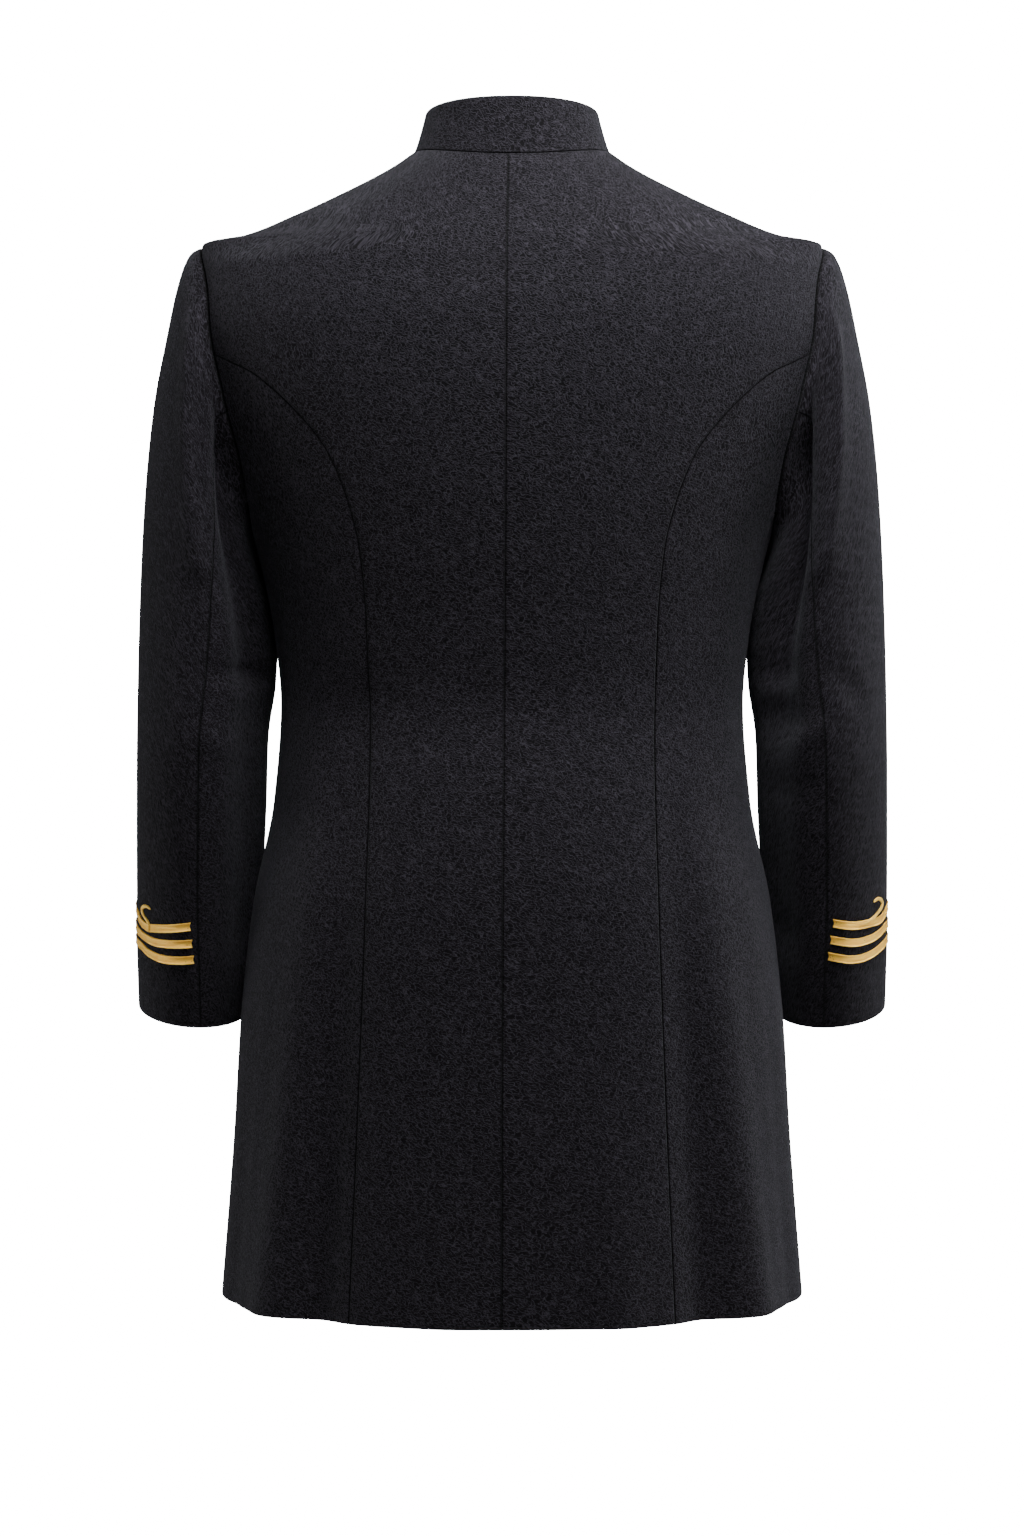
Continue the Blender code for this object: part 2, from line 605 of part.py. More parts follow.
def sleeve(collection, side, word):
    forearm = STEPS_TIP_TO_HINDARM + STEPS_HINDARM_TO_FOREARM - len(KNOTS) + 1
    face = sleeve_panel(collection, side, f"top_sleeve_{word}", forearm, STEPS_TIP_TO_HINDARM)
    sleeve_panel(collection, side, f"under_sleeve_{word}", STEPS_TIP_TO_HINDARM,
                 STEPS_TIP_TO_HINDARM + STEPS_HINDARM_TO_FOREARM)
    for k, place in enumerate(("low", "middle", "top")):
        band(collection, f"band_{word}_{place}", face, LOWEST_BAND_ABOVE_CUFF + k * BAND_PITCH)
    top = LOWEST_BAND_ABOVE_CUFF + 2 * BAND_PITCH + BAND_WIDTH + SEAM_GAP
    curl(collection, f"curl_{word}", face, top)


def neck_turns():
    """Turns of the panels' columns where they meet the collar, from the centre front right round."""
    centre = centre_turns(np.array([NECK_LEVEL]))[0]
    front = front_turns(np.array([NECK_LEVEL]), np.array([math.pi / 2]))[0]
    front = front[1:FRONT_COLUMNS + 3]
    left = np.concatenate([np.linspace(centre, math.pi / 2, BACK_COLUMNS + 1), front])
    right = np.concatenate([np.linspace(-centre, math.pi / 2, BACK_COLUMNS + 1), front])
    return np.concatenate([-right[:0:-1], left])


def collar(collection):
    """Stand collar: one strip round the neck, whose ends meet at the centre front."""
    turn = neck_turns()
    level, turn = np.broadcast_arrays(np.full((len(COLLAR_HEIGHTS), 1), NECK_LEVEL), turn)
    foot = plain_body(level, turn) + np.array([0, 0, COLLAR_SEAM_RISE])
    depth = np.where(np.cos(turn) > 0, COLLAR_TOP_BACK, COLLAR_TOP_FRONT)
    drop = np.where(np.cos(turn) > 0, 0, COLLAR_TOP_FRONT_DROP) * np.cos(turn) ** 2
    power = 2 / SECTION_SQUARENESS
    top = np.stack([COLLAR_TOP_HALF_WIDTH * signed_power(np.sin(turn), power),
                    depth * signed_power(np.cos(turn), power), COLLAR_TOP_LEVEL - drop], -1)
    share = np.array(COLLAR_HEIGHTS)[:, None, None]
    outer = foot + (top - foot) * np.concatenate([share**0.8, share**0.8, share], -1)
    round_neck = np.gradient(outer, axis=1)
    round_neck[:, 0] = round_neck[:, -1] = (1, 0, 0)
    flat = np.stack([-round_neck[..., 1], round_neck[..., 0], np.zeros_like(depth)], -1)
    inner = outer - COLLAR_CLOTH * unit(flat)
    trim(outer, inner, slice(None), 0)
    trim(outer, inner, slice(None), outer.shape[1] - 1)
    add_wall(collection, "collar", outer, inner, WOOL)


def button(collection, name, level):
    """A plain turned button on the left front, just clear of the cloth that it is sewn to."""
    turn = np.array([math.pi])
    face, normal = body_face(np.array([level]), turn, 1)
    way = normal[0]
    lift = CLOTH + OVERLAP_CLEARANCE + BUTTON_SEAT
    mesh = bpy.data.meshes.new(name)
    points = [(r * BUTTON_RADIUS, 0, h * BUTTON_THICKNESS)
              for r, h in zip(BUTTON_PROFILE["radius"], BUTTON_PROFILE["height"])]
    mesh.from_pydata(points, [(i, i + 1) for i in range(len(points) - 1)], [])
    mesh.materials.append(finish_material(name, HORN))
    turned = bpy.data.objects.new(name, mesh)
    screw = turned.modifiers.new("Turned", "SCREW")
    screw.steps = screw.render_steps = BUTTON_SIDES
    screw.use_merge_vertices = True
    screw.merge_threshold = 0.00001
    sideways = unit(np.cross((0, 0, 1), way))
    turned.rotation_mode = "AXIS_ANGLE"
    turned.rotation_axis_angle = (math.acos(way[2]), *sideways)
    turned.location = face[0] + lift * way
    collection.objects.link(turned)


def main():
    for thing in list(bpy.data.objects):
        bpy.data.objects.remove(thing)
    collection = bpy.data.collections.new("wool_coat")
    bpy.context.scene.collection.children.link(collection)
    for side, word in ((1, "left"), (-1, "right")):
        back_panel(collection, side, f"back_{word}")
        side_panel(collection, side, f"side_{word}")
        front_panel(collection, side, f"front_{word}")
        sleeve(collection, side, word)
    collar(collection)
    for k, level in enumerate(BUTTON_LEVELS):
        button(collection, f"button_{k + 1}", level)


main()
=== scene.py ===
"""A stand-collar overcoat of heavy black wool with gold braid cuffs, filled out, worn by nobody.

Metres. The origin is at the nape, the back faces +Y, +X is the wearer's left and +Z is up.
"""

import math

import bpy
import numpy as np
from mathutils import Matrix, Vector


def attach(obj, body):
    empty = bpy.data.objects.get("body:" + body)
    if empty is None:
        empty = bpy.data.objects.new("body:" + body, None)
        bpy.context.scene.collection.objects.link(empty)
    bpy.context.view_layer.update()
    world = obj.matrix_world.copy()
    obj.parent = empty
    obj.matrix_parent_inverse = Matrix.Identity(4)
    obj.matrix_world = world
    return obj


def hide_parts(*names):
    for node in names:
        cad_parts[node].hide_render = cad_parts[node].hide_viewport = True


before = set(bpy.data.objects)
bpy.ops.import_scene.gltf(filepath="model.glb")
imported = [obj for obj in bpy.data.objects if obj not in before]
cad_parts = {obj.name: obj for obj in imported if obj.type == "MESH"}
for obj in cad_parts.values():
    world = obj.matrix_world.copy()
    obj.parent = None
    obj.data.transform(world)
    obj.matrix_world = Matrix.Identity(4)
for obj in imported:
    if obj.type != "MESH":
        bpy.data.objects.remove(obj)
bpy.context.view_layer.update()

# Back panels
# Two halves of the back in heavy brushed wool, cut from collar to hem with no vent. They join in a
# centre-back seam a little to the wearer's left, and a curved seam from the armhole shapes each to
# the waist. Their seams are pressed open, so each edge rolls in and the join is a thin groove, with
# painted shade along it.


def table(columns, rows):
    """A short table as one array for each named column."""
    return dict(zip(columns.split(), np.array(rows, float).T))


hem_level, neck_level, tip_level, underarm_level = -0.854, 0.013, -0.0575, -0.280
cloth = 0.0024
squareness = 2.15

level_sections = table("level side round back front", (
    (hem_level, 0.2212, 0.2212, 0.1505, 0.155),
    (-0.732, 0.2118, 0.2118, 0.145, 0.15),
    (-0.644, 0.2067, 0.2067, 0.1402, 0.145),
    (-0.5575, 0.1972, 0.1972, 0.1355, 0.137),
    (-0.479, 0.1816, 0.1816, 0.1215, 0.126),
    (-0.406, 0.1764, 0.1764, 0.106, 0.118),
    (-0.359, 0.1805, 0.1805, 0.11, 0.121),
    (-0.292, 0.194, 0.194, 0.119, 0.129),
    (-0.233, 0.213, 0.213, 0.125, 0.134),
    (-0.175, 0.235, 0.2325, 0.1275, 0.132),
    (-0.129, 0.243, 0.241, 0.125, 0.124),
    (-0.079, 0.24, 0.232, 0.113, 0.107),
    (tip_level, 0.2364, 0.199, 0.105, 0.0985),
    (-0.0525, 0.209, 0.185, 0.1025, 0.0965),
    (-0.0365, 0.169, 0.158, 0.0945, 0.091),
    (-0.0185, 0.13, 0.1255, 0.086, 0.0865),
    (0.001, 0.093, 0.093, 0.077, 0.082),
    (neck_level, 0.0757, 0.0757, 0.07, 0.078),
))
centre_seam = table("level across", (
    (hem_level, 0.0074), (-0.64, 0.007), (-0.3, 0.005), (-0.08, 0.0038),
    (neck_level, 0.0026),
))
princess_seam = table("level across", (
    (hem_level, 0.1177), (-0.69, 0.1111), (-0.55, 0.1065), (-0.44, 0.1045), (-0.35, 0.1064),
    (-0.2955, 0.1111), (-0.259, 0.12), (-0.2417, 0.1264), (-0.2245, 0.1345),
    (-0.211, 0.1437), (-0.1887, 0.1635), (-0.1737, 0.179), (-0.1604, 0.196),
    (-0.153, 0.211), (-0.1467, 0.2227),
))

# The folds that the filled-out cloth hangs in. Each runs from one point to another, given as a turn
# from the centre back towards the wearer's left, in degrees, and a row, here a level. A height over
# 0 makes a ridge and one below a trough, and both fade with the distance from that line.
body_folds = table("turn_0 row_0 turn_1 row_1 width height_0 height_1", (
    (46, -0.48, 52, hem_level, 0.026, 0, 0.0095),
    (-46, -0.48, -52, hem_level, 0.026, 0, 0.01),
    (38, -0.41, 38, hem_level, 0.022, -0.003, -0.0085),
    (-38, -0.44, -38, hem_level, 0.022, -0.001, -0.0095),
    (-18, -0.7, -19, hem_level, 0.022, 0, 0.0045),
    (12, -0.73, 11, hem_level, 0.024, 0, 0.0025),
    (68, -0.54, 70, hem_level, 0.02, 0, -0.003),
    (-68, -0.54, -70, hem_level, 0.02, 0, -0.003),
    (132, -0.5, 138, hem_level, 0.027, 0, 0.0065),
    (-136, -0.53, -144, hem_level, 0.025, 0, 0.006),
))


def through(knots, values, at):
    """A smooth curve through a table's rows that never swings past them: cubics whose slope at a
    row is the harmonic mean of the slopes on both sides."""
    steps = np.diff(knots)
    slopes = np.diff(values) / steps
    turns = slopes[:-1] * slopes[1:] > 0
    sums = np.where(turns, slopes[:-1] + slopes[1:], 1.0)
    inner = np.where(turns, 2 * slopes[:-1] * slopes[1:] / sums, 0.0)
    tangents = np.concatenate([slopes[:1], inner, slopes[-1:]])
    at = np.clip(at, knots[0], knots[-1])
    i = np.clip(np.searchsorted(knots, at, side="right") - 1, 0, len(steps) - 1)
    t = (at - knots[i]) / steps[i]
    start = values[i] * (1 + 2 * t) * (1 - t) ** 2 + tangents[i] * steps[i] * t * (1 - t) ** 2
    end = values[i + 1] * t**2 * (3 - 2 * t) - tangents[i + 1] * steps[i] * t**2 * (1 - t)
    return start + end


def section_size(column, level):
    return through(level_sections["level"], level_sections[column], level)


def signed_power(value, power):
    return np.sign(value) * np.abs(value) ** power


def smoothstep(value):
    value = np.clip(value, 0, 1)
    return value * value * (3 - 2 * value)


def unit(vectors):
    return vectors / np.linalg.norm(vectors, axis=-1, keepdims=True)


def fold_height(folds, place, turn, row):
    """Sum over the folds of height x exp(-(distance from the fold's line / its width) squared). A
    function gives the place on the cloth, in metres, for a turn and a row."""
    start, end = (np.stack(place(np.radians(folds["turn" + end]), folds["row" + end]), -1)
                  for end in ("_0", "_1"))
    here = np.stack(np.broadcast_arrays(*place(turn, row)), -1)
    height = np.zeros(here.shape[:-1])
    for k in range(len(folds["width"])):
        run = end[k] - start[k]
        share = np.clip((here - start[k]) @ run / (run @ run), 0, 1)
        away = np.linalg.norm(here - start[k] - share[..., None] * run, axis=-1)
        tall = folds["height_0"][k] + (folds["height_1"][k] - folds["height_0"][k]) * share
        height += tall * np.exp(-((away / folds["width"][k]) ** 2))
    return height


# Near the neck the cloth dips this far below the side line behind and in front, from a level up.
dip_behind, dip_in_front, dip_starts = 0.013, 0.075, -0.20


def plain_body(level, turn):
    """Level section of the coat: x = width x sin(turn) and y = depth x cos(turn), both with their
    powers squared off a little; near the neck the front and back drop below the side line."""
    sine, cosine = np.sin(turn), np.cos(turn)
    depth = np.where(cosine > 0, section_size("back", level), section_size("front", level))
    side = section_size("side", level)
    rounder = smoothstep((np.abs(cosine) - 0.20) / 0.45)
    width = side + (section_size("round", level) - side) * rounder
    x = width * signed_power(sine, 2 / squareness)
    y = depth * signed_power(cosine, 2 / squareness)
    rise = np.clip((level - dip_starts) / (neck_level - dip_starts), 0, 1)
    drop = np.where(cosine > 0, dip_behind, dip_in_front) * rise**1.5
    return np.stack(np.broadcast_arrays(x, y, level - drop * cosine**2), -1)


def on_body(turn, level):
    return turn * section_size("side", level), level


def body_face(level, turn):
    """Plain body plus the folds, moved along the way out, which is up x round."""
    reach, swing = 0.006, math.radians(0.5)
    up = plain_body(np.minimum(level + reach, neck_level), turn)
    up = up - plain_body(np.maximum(level - reach, hem_level), turn)
    normal = unit(np.cross(up, plain_body(level, turn + swing) - plain_body(level, turn - swing)))
    height = fold_height(body_folds, on_body, turn, level)
    return plain_body(level, turn) + height[..., None] * normal, normal


def cloth_across(turn, level):
    """Distance across the cloth from its middle: turn x side width, and above the shoulder tips
    less by as much as a column of points leans towards the middle."""
    low = np.minimum(level, tip_level)
    leaned = plain_body(level, turn)[..., 0] - plain_body(low, turn)[..., 0]
    return -turn * section_size("side", low) - leaned


def turn_at(level, across):
    """The turn, on the back, where the section lies this far from the middle plane."""
    return np.arcsin(np.clip(across / section_size("round", level), 0, 1) ** (squareness / 2))


armhole_behind, armhole_in_front = 0.055, 0.070


def armhole(angle):
    """Level and turn of the armhole seam, an oval seen from the side, from the shoulder tip
    back."""
    middle = (tip_level + underarm_level) / 2
    level = middle + (tip_level - middle) * np.cos(angle)
    sine = np.sin(angle)
    depth = np.where(sine > 0, armhole_behind, armhole_in_front) * sine
    full = np.where(sine > 0, section_size("back", level), section_size("front", level))
    return level, np.arccos(signed_power(depth / full, squareness / 2))


hindarm_angle, forearm_angle = math.radians(101), math.radians(248)
armhole_knots = np.concatenate([
    np.linspace(0, hindarm_angle, 10), np.linspace(hindarm_angle, forearm_angle, 13)[1:]])
back_angle, front_angle = armhole_knots[7], armhole_knots[19]
back_top = float(armhole(back_angle)[0])
row_step, half_gap = 0.0030, 0.00015
edge_steps = np.array([0.0, 0.0003, 0.0008, 0.0016])


def rows_between(low, high, step=row_step):
    return np.linspace(low, high, max(2, int(round(abs(high - low) / step)) + 1))


def with_edges(start, finish, near=edge_steps, count=None):
    """Places from start to finish, closer at both ends, with a count of even ones in between or as
    many as row_step gives."""
    inner = start + near[-1], finish - near[-1]
    inner = np.linspace(*inner, count) if count else rows_between(*inner)
    return np.concatenate([start + near[:-1], inner, finish - near[-2::-1]])


def body_rows(armhole_angles, edge_below):
    """Levels of a panel's rows from the hem to the collar and the turn of its outer edge on each:
    the seam below the armhole, then round the armhole, then along the shoulder seam."""
    foot = hem_level + edge_steps
    below = np.concatenate([foot[:-1],
                            rows_between(foot[-1], float(armhole(armhole_angles[0])[0]))])
    round_hole = armhole(armhole_angles)
    shoulder = rows_between(tip_level, neck_level - edge_steps[-1], row_step / 2)
    shoulder = np.concatenate([shoulder, neck_level - edge_steps[-2::-1]])
    levels = np.concatenate([below, round_hole[0][1:], shoulder[1:]])
    edge = np.concatenate([edge_below(below), round_hole[1][1:],
                           np.full(len(shoulder) - 1, math.pi / 2)])
    return levels, edge


def between(rows, start, finish):
    """Gives the place at a share of the way across each row of a panel: the row's level or ring
    number, and start + (finish - start) x share as its turn."""
    def place(share):
        turn = start + (finish - start) * share
        return np.broadcast_to(rows[:, None], turn.shape), turn
    return place


def spread(place, face, columns):
    """Places of a grid's points, spaced evenly in real distance across each row, with three closer
    columns at both ends: the lengths along a fine row are added up and read back. Also the
    distance of each point from the nearer end of its row."""
    fine = np.linspace(0, 1, 129)
    lengths = np.linalg.norm(np.diff(face(*place(fine[None, :]))[0], axis=1), axis=-1)
    lengths = np.concatenate([np.zeros((len(lengths), 1)), np.cumsum(lengths, 1)], 1)
    shares, wanted = np.zeros((2, len(lengths), columns + 7))
    for i, end in enumerate(lengths[:, -1]):
        near = np.minimum(edge_steps + half_gap, end / 4)
        wanted[i] = with_edges(0, end, near, columns + 1)
        shares[i] = np.interp(wanted[i], lengths[i], fine)
    return *place(shares), np.minimum(wanted, lengths[:, -1:] - wanted)


# The second number is how far from a seam or cut edge the painted shadow of the seam groove
# reaches.
roll, seam_shade_width = 0.0014, 0.0010


def rolled(distance):
    """How far an edge rolls in: a quarter circle over its last stretch."""
    return roll - np.sqrt(np.maximum(roll**2 - np.maximum(roll - distance, 0) ** 2, 0))


def steps_down(points):
    """Length of each step down the columns of a grid of points, the first one 0."""
    return np.linalg.norm(np.diff(points, axis=0, prepend=points[:1]), axis=-1)


def put_in_scene(name, data):
    thing = bpy.data.objects.new(name, data)
    bpy.context.scene.collection.objects.link(thing)
    return thing


def piece_from(name, points, faces, *materials):
    """Puts points and faces into the scene."""
    mesh = bpy.data.meshes.new(name)
    mesh.from_pydata(np.array(points, float).tolist(), [], faces)
    for material in materials:
        mesh.materials.append(material)
    return put_in_scene(name, mesh)


def grid_faces(rows, columns, first=0):
    index = first + np.arange(rows * columns).reshape(rows, columns)
    corners = [index[:-1, :-1], index[:-1, 1:], index[1:, 1:], index[1:, :-1]]
    return np.stack(corners, -1).reshape(-1, 4)


def shell(name, outside, inside, coordinates, material, seam=None):
    """A closed mesh of an outer grid, an inner one behind it, and the rim between their borders.
    Its UV map is in metres of cloth. On cloth an attribute holds painted seam shade: 1 at a seam or
    cut edge, fading within about a millimetre."""
    rows, columns = outside.shape[:2]
    behind = grid_faces(rows, columns, rows * columns)[:, ::-1]
    index = np.arange(rows * columns).reshape(rows, columns)
    border = np.concatenate([index[0, :-1], index[:-1, -1], index[-1, :0:-1], index[:0:-1, 0]])
    ahead = np.roll(border, -1)
    rim = np.stack([ahead, border, border + rows * columns, ahead + rows * columns], -1)
    faces = np.concatenate([grid_faces(rows, columns), behind, rim])
    i, j = rows // 2, columns // 2
    here = outside[i, j]
    if np.cross(outside[i, j + 1] - here, outside[i + 1, j] - here) @ (here - inside[i, j]) < 0:
        faces = faces[:, ::-1]
    points = np.concatenate([outside.reshape(-1, 3), inside.reshape(-1, 3)])
    coordinates = np.tile(coordinates.reshape(-1, 2), (2, 1))
    thing = piece_from(name, points, faces.tolist(), material)
    places = thing.data.uv_layers.new(name="Cloth").data
    places.foreach_set("uv", coordinates[faces.ravel()].astype(np.float32).ravel())
    # Painted seam shade: how strongly the wool is darkened near each seam and cut edge.
    if seam is not None:
        values = thing.data.attributes.new("Seam", "FLOAT", "POINT").data
        values.foreach_set("value", np.tile(seam.ravel(), 2).astype(np.float32))
    thing.data.validate()
    thing.data.shade_smooth()
    return thing


def tuck(inside, outer, joined, allowance):
    """Lets the inner face run on a little past each edge that is sewn to another piece."""
    for name in joined.split():
        edge, before = (0, 1) if "first" in name else (-1, -2)
        order = (1, 0, 2) if "column" in name else (0, 1, 2)
        way_out = outer.transpose(order)
        inside.transpose(order)[edge] += allowance * unit(way_out[edge] - way_out[before])


def wall(name, outer, normal, distance, across, joined, thickness=cloth, allowance=0.0007,
         under=0.0):
    """A closed shell of wool: an outer grid, an inner one a thickness behind it, and a rim. Both
    roll in at the edges. Its UV map gives the distance across and up the cloth. An attribute gives
    painted shade along its cut edges and the rows sewn to other pieces, standing in for the shadow
    in the seam groove. The inner face's first row can be drawn sideways under the cloth that it is
    sewn to."""
    step = steps_down(outer)
    run, seam = step.cumsum(0), distance
    edge = rolled(np.minimum(distance, np.minimum(run, run[-1:] - run)))[..., None]
    inside = outer - (thickness - edge) * normal
    tuck(inside, outer, joined, allowance)
    inside[0, :, 0] += under
    if "first_row" in joined:
        seam = np.minimum(seam, run)
    if "last_row" in joined:
        seam = np.minimum(seam, run[-1:] - run)
    sideways = np.diff(across, axis=0, prepend=across[:1])
    up = np.sqrt(np.maximum(step**2 - sideways**2, 0)).cumsum(0)
    if outer[-1, 0, 2] < outer[0, 0, 2]:
        up = -up
    # The last argument is the painted seam shade. It is 1 at a seam or cut edge and falls off
    # within about a millimetre, standing in for the shadow in the groove.
    return shell(name, outer - edge * normal, inside, np.stack([across, up], -1), wool,
                 np.exp(-((seam / seam_shade_width) ** 2)))


def feed(tree, node, inputs):
    """Sets a node's inputs, each to a plain value or to another node's output."""
    for name, value in inputs.items():
        if isinstance(value, bpy.types.NodeSocket):
            tree.links.new(value, node.inputs[name])
        else:
            node.inputs[name].default_value = value
    return node


def add_node(tree, kind, inputs=None, **settings):
    node = tree.nodes.new("ShaderNode" + kind)
    for name, value in settings.items():
        setattr(node, name, value)
    return feed(tree, node, inputs or {})


def maths(tree, operation, *values, clamp=False):
    """The result of a Math node on outputs or plain numbers."""
    return add_node(tree, "Math", dict(enumerate(values)), operation=operation,
                    use_clamp=clamp).outputs[0]


def weighed(tree, first, first_share, second, second_share):
    """first x its share + second x its share."""
    return maths(tree, "ADD", maths(tree, "MULTIPLY", first, first_share),
                 maths(tree, "MULTIPLY", second, second_share))


def noise(tree, where, scale, detail, dimensions="2D"):
    return add_node(tree, "TexNoise", {"Vector": where, "Scale": scale, "Detail": detail},
                    noise_dimensions=dimensions).outputs


def ramp(tree, value, *stops):
    """A colour for a value, blended between stops: each a value and its colour."""
    node = add_node(tree, "ValToRGB", {0: value})
    marks = node.color_ramp.elements
    for mark, (at, colour) in zip((marks[0], marks[1]), (stops[0], stops[-1])):
        mark.position, mark.color = at, (*colour, 1)
    for at, colour in stops[1:-1]:
        marks.new(at).color = (*colour, 1)
    return node.outputs["Color"]


def pattern_group(name, *numbers):
    """A node group that turns a place on the cloth, and numbers, into a shade and a height: the
    group, what comes in and the node that the result goes to."""
    group = bpy.data.node_groups.new(name, "ShaderNodeTree")
    for direction, kind, sockets in (("INPUT", "Vector", ("Vector",)), ("INPUT", "Float", numbers),
                                     ("OUTPUT", "Float", ("Shade", "Height"))):
        for socket in sockets:
            group.interface.new_socket(socket, in_out=direction, socket_type="NodeSocket" + kind)
    return group, group.nodes.new("NodeGroupInput").outputs, group.nodes.new("NodeGroupOutput")


def fibre_lines(tree, where, turn, long, fine, sharp):
    """Thin wandering lines along one direction: 1 - sharp x |2 x noise - 1| of a stretched noise,
    cut off at 0, so that only the crests stay."""
    laid = add_node(tree, "Mapping", {"Vector": where, "Rotation": (0, 0, math.radians(turn))})
    drawn = add_node(tree, "Mapping", {"Vector": laid.outputs[0], "Scale": (1 / long, 1 / fine, 1)})
    crests = noise(tree, drawn.outputs[0], 1.0, 0.6)[0]
    off = maths(tree, "SUBTRACT", maths(tree, "MULTIPLY", crests, 2.0), 1.0)
    off = maths(tree, "ABSOLUTE", off)
    return maths(tree, "SUBTRACT", 1.0, maths(tree, "MULTIPLY", off, sharp), clamp=True)


def nap_group():
    """Brushed wool: short wandering fibres lying mostly one way, a fine grain between them and
    softer clumps. It gives a shade and a height."""
    group, given, end = pattern_group("Wool nap")
    place = given["Vector"]
    wander = noise(group, place, 260, 1)["Color"]
    shift = add_node(group, "VectorMath", {0: wander, 1: (0.0026, 0.0026, 0), 2: place},
                     operation="MULTIPLY_ADD").outputs[0]
    along = fibre_lines(group, shift, 32, 0.0048, 0.0020, 5.2)
    athwart = fibre_lines(group, shift, -8, 0.0042, 0.0019, 6.0)
    fibres = maths(group, "MAXIMUM", maths(group, "MULTIPLY", along, 0.62),
                   maths(group, "MULTIPLY", athwart, 0.50))
    height = weighed(group, fibres, 1.0, noise(group, place, 800, 2)[0], 0.40)
    shade = weighed(group, height, 0.9, noise(group, place, 120, 3)[0], 0.07)
    feed(group, end, {"Shade": shade, "Height": height})
    return group


def new_material(name, inputs):
    """A material, its node tree and its shader, with plain inputs set."""
    material = bpy.data.materials.new(name)
    material.use_nodes = True
    tree = material.node_tree
    return material, tree, feed(tree, tree.nodes["Principled BSDF"], inputs)


def cover(tree, shader, colour, height, strength, distance):
    """Gives a shader its colour and the bump of a height."""
    bump = add_node(tree, "Bump", {"Height": height, "Strength": strength, "Distance": distance})
    feed(tree, shader, {"Base Color": colour, "Normal": bump.outputs[0]})


def patterned(tree, group, inputs):
    """A pattern's shade and height at each place on the cloth."""
    where = add_node(tree, "UVMap", uv_map="Cloth").outputs[0]
    return add_node(tree, "Group", {"Vector": where, **inputs}, node_tree=group).outputs


def black_wool():
    """Almost black wool with charcoal and grey fibres in it, dull, with a soft sheen at the turn.
    Painted shade darkens it along the seams and cut edges."""
    material, tree, shader = new_material("Black wool", {
        "Roughness": 0.92, "Specular IOR Level": 0.09, "Sheen Weight": 0.042,
        "Sheen Roughness": 0.45, "Sheen Tint": (0.85, 0.88, 1.0, 1.0)})
    nap = patterned(tree, nap_group(), {})
    fibres = ramp(tree, nap["Shade"], (0.16, (0.0019, 0.0017, 0.0023)),
                  (0.42, (0.0051, 0.0046, 0.0061)), (0.85, (0.0300, 0.0270, 0.0352)))
    # Painted shade: near seams and cut edges the fibre colour is multiplied down to 4 percent,
    # standing in for the shadow in the pressed seam groove.
    seam = add_node(tree, "Attribute", attribute_name="Seam").outputs["Fac"]
    painted_seam_shade = add_node(tree, "Mix", {"Factor": seam, "A": fibres, "B": (0.04, 0.04, 0.04, 1)},
                      data_type="RGBA", blend_type="MULTIPLY")
    cover(tree, shader, painted_seam_shade.outputs["Result"], nap["Height"], 0.7, 0.0007)
    return material


wool = black_wool()
both_sides = ((1, "left"), (-1, "right"))


def fitted(thing, node):
    """Ties a piece to the coat and to the node that it stands for."""
    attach(thing, "root")
    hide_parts(node)
    return thing


def cloth_piece(thing, node):
    """Fits a piece of cloth."""
    fitted(thing, node)


def princess_turns(levels):
    """The back seam's turns; its top is moved on to the point where the armhole starts."""
    def turns(at):
        return turn_at(at, through(princess_seam["level"], princess_seam["across"], at))

    short = float(armhole(back_angle)[1]) - turns(np.array([back_top]))[0]
    return turns(levels) + short * smoothstep((levels - back_top + 0.012) / 0.012)


def back_panel(side, word):
    levels, edge = body_rows(np.linspace(back_angle, 0, 40), princess_turns)
    centre = turn_at(levels, through(centre_seam["level"], centre_seam["across"], levels))
    place = between(levels, centre[:, None], side * edge[:, None])
    level, turn, distance = spread(place, body_face, 40)
    panel = wall(f"back_cloth_{word}", *body_face(level, turn), distance, cloth_across(turn, level),
                 "first_column last_column last_row")
    cloth_piece(panel, f"back_{word}")


for side, word in both_sides:
    back_panel(side, word)

# Side bodies
# One shaped panel under each arm, from the back seam round to the seam on the front, in the same
# wool. Its top follows the low part of the armhole, where the under sleeve is sewn in.

bend_level = -0.45


def side_body(side, word):
    levels = with_edges(hem_level, back_top)
    front = float(armhole(front_angle)[1])
    fine = np.linspace(0, 1, 129)
    angles = np.interp(7 + 12 * fine, np.arange(len(armhole_knots)), armhole_knots)
    tops, top_turns = armhole(angles)
    seam = princess_turns(levels)[:, None]
    rise = np.clip((levels - bend_level) / (back_top - bend_level), 0, 1)[:, None]

    def place(share):
        """Level and turn: rows above the waist bend so that the last lies on the armhole."""
        top, turned = np.interp(share, fine, tops), np.interp(share, fine, top_turns)
        bent = (levels[:, None] - bend_level) * (top - bend_level) / (back_top - bend_level)
        level = np.where(levels[:, None] > bend_level, bend_level + bent, levels[:, None])
        last = seam[-1] + (front - seam[-1]) * share
        return level, seam + (front - seam) * share + rise**2 * (turned - last)

    level, turn, distance = spread(place, body_face, 68)
    panel = wall(f"side_cloth_{word}", *body_face(level, side * turn), distance,
                 -side * turn * section_size("side", level), "first_column last_column last_row")
    cloth_piece(panel, f"side_{word}")


for side, word in both_sides:
    side_body(side, word)

# Fronts
# Two wide fronts in the same wool, seamed at the side and along the shoulder. The left one laps
# over the right one down the middle and fastens there; both edges are turned in and pressed flat.

overlap, lift_whole, lift_starts, lap_clear = 0.025, 0.028, 0.075, 0.0005


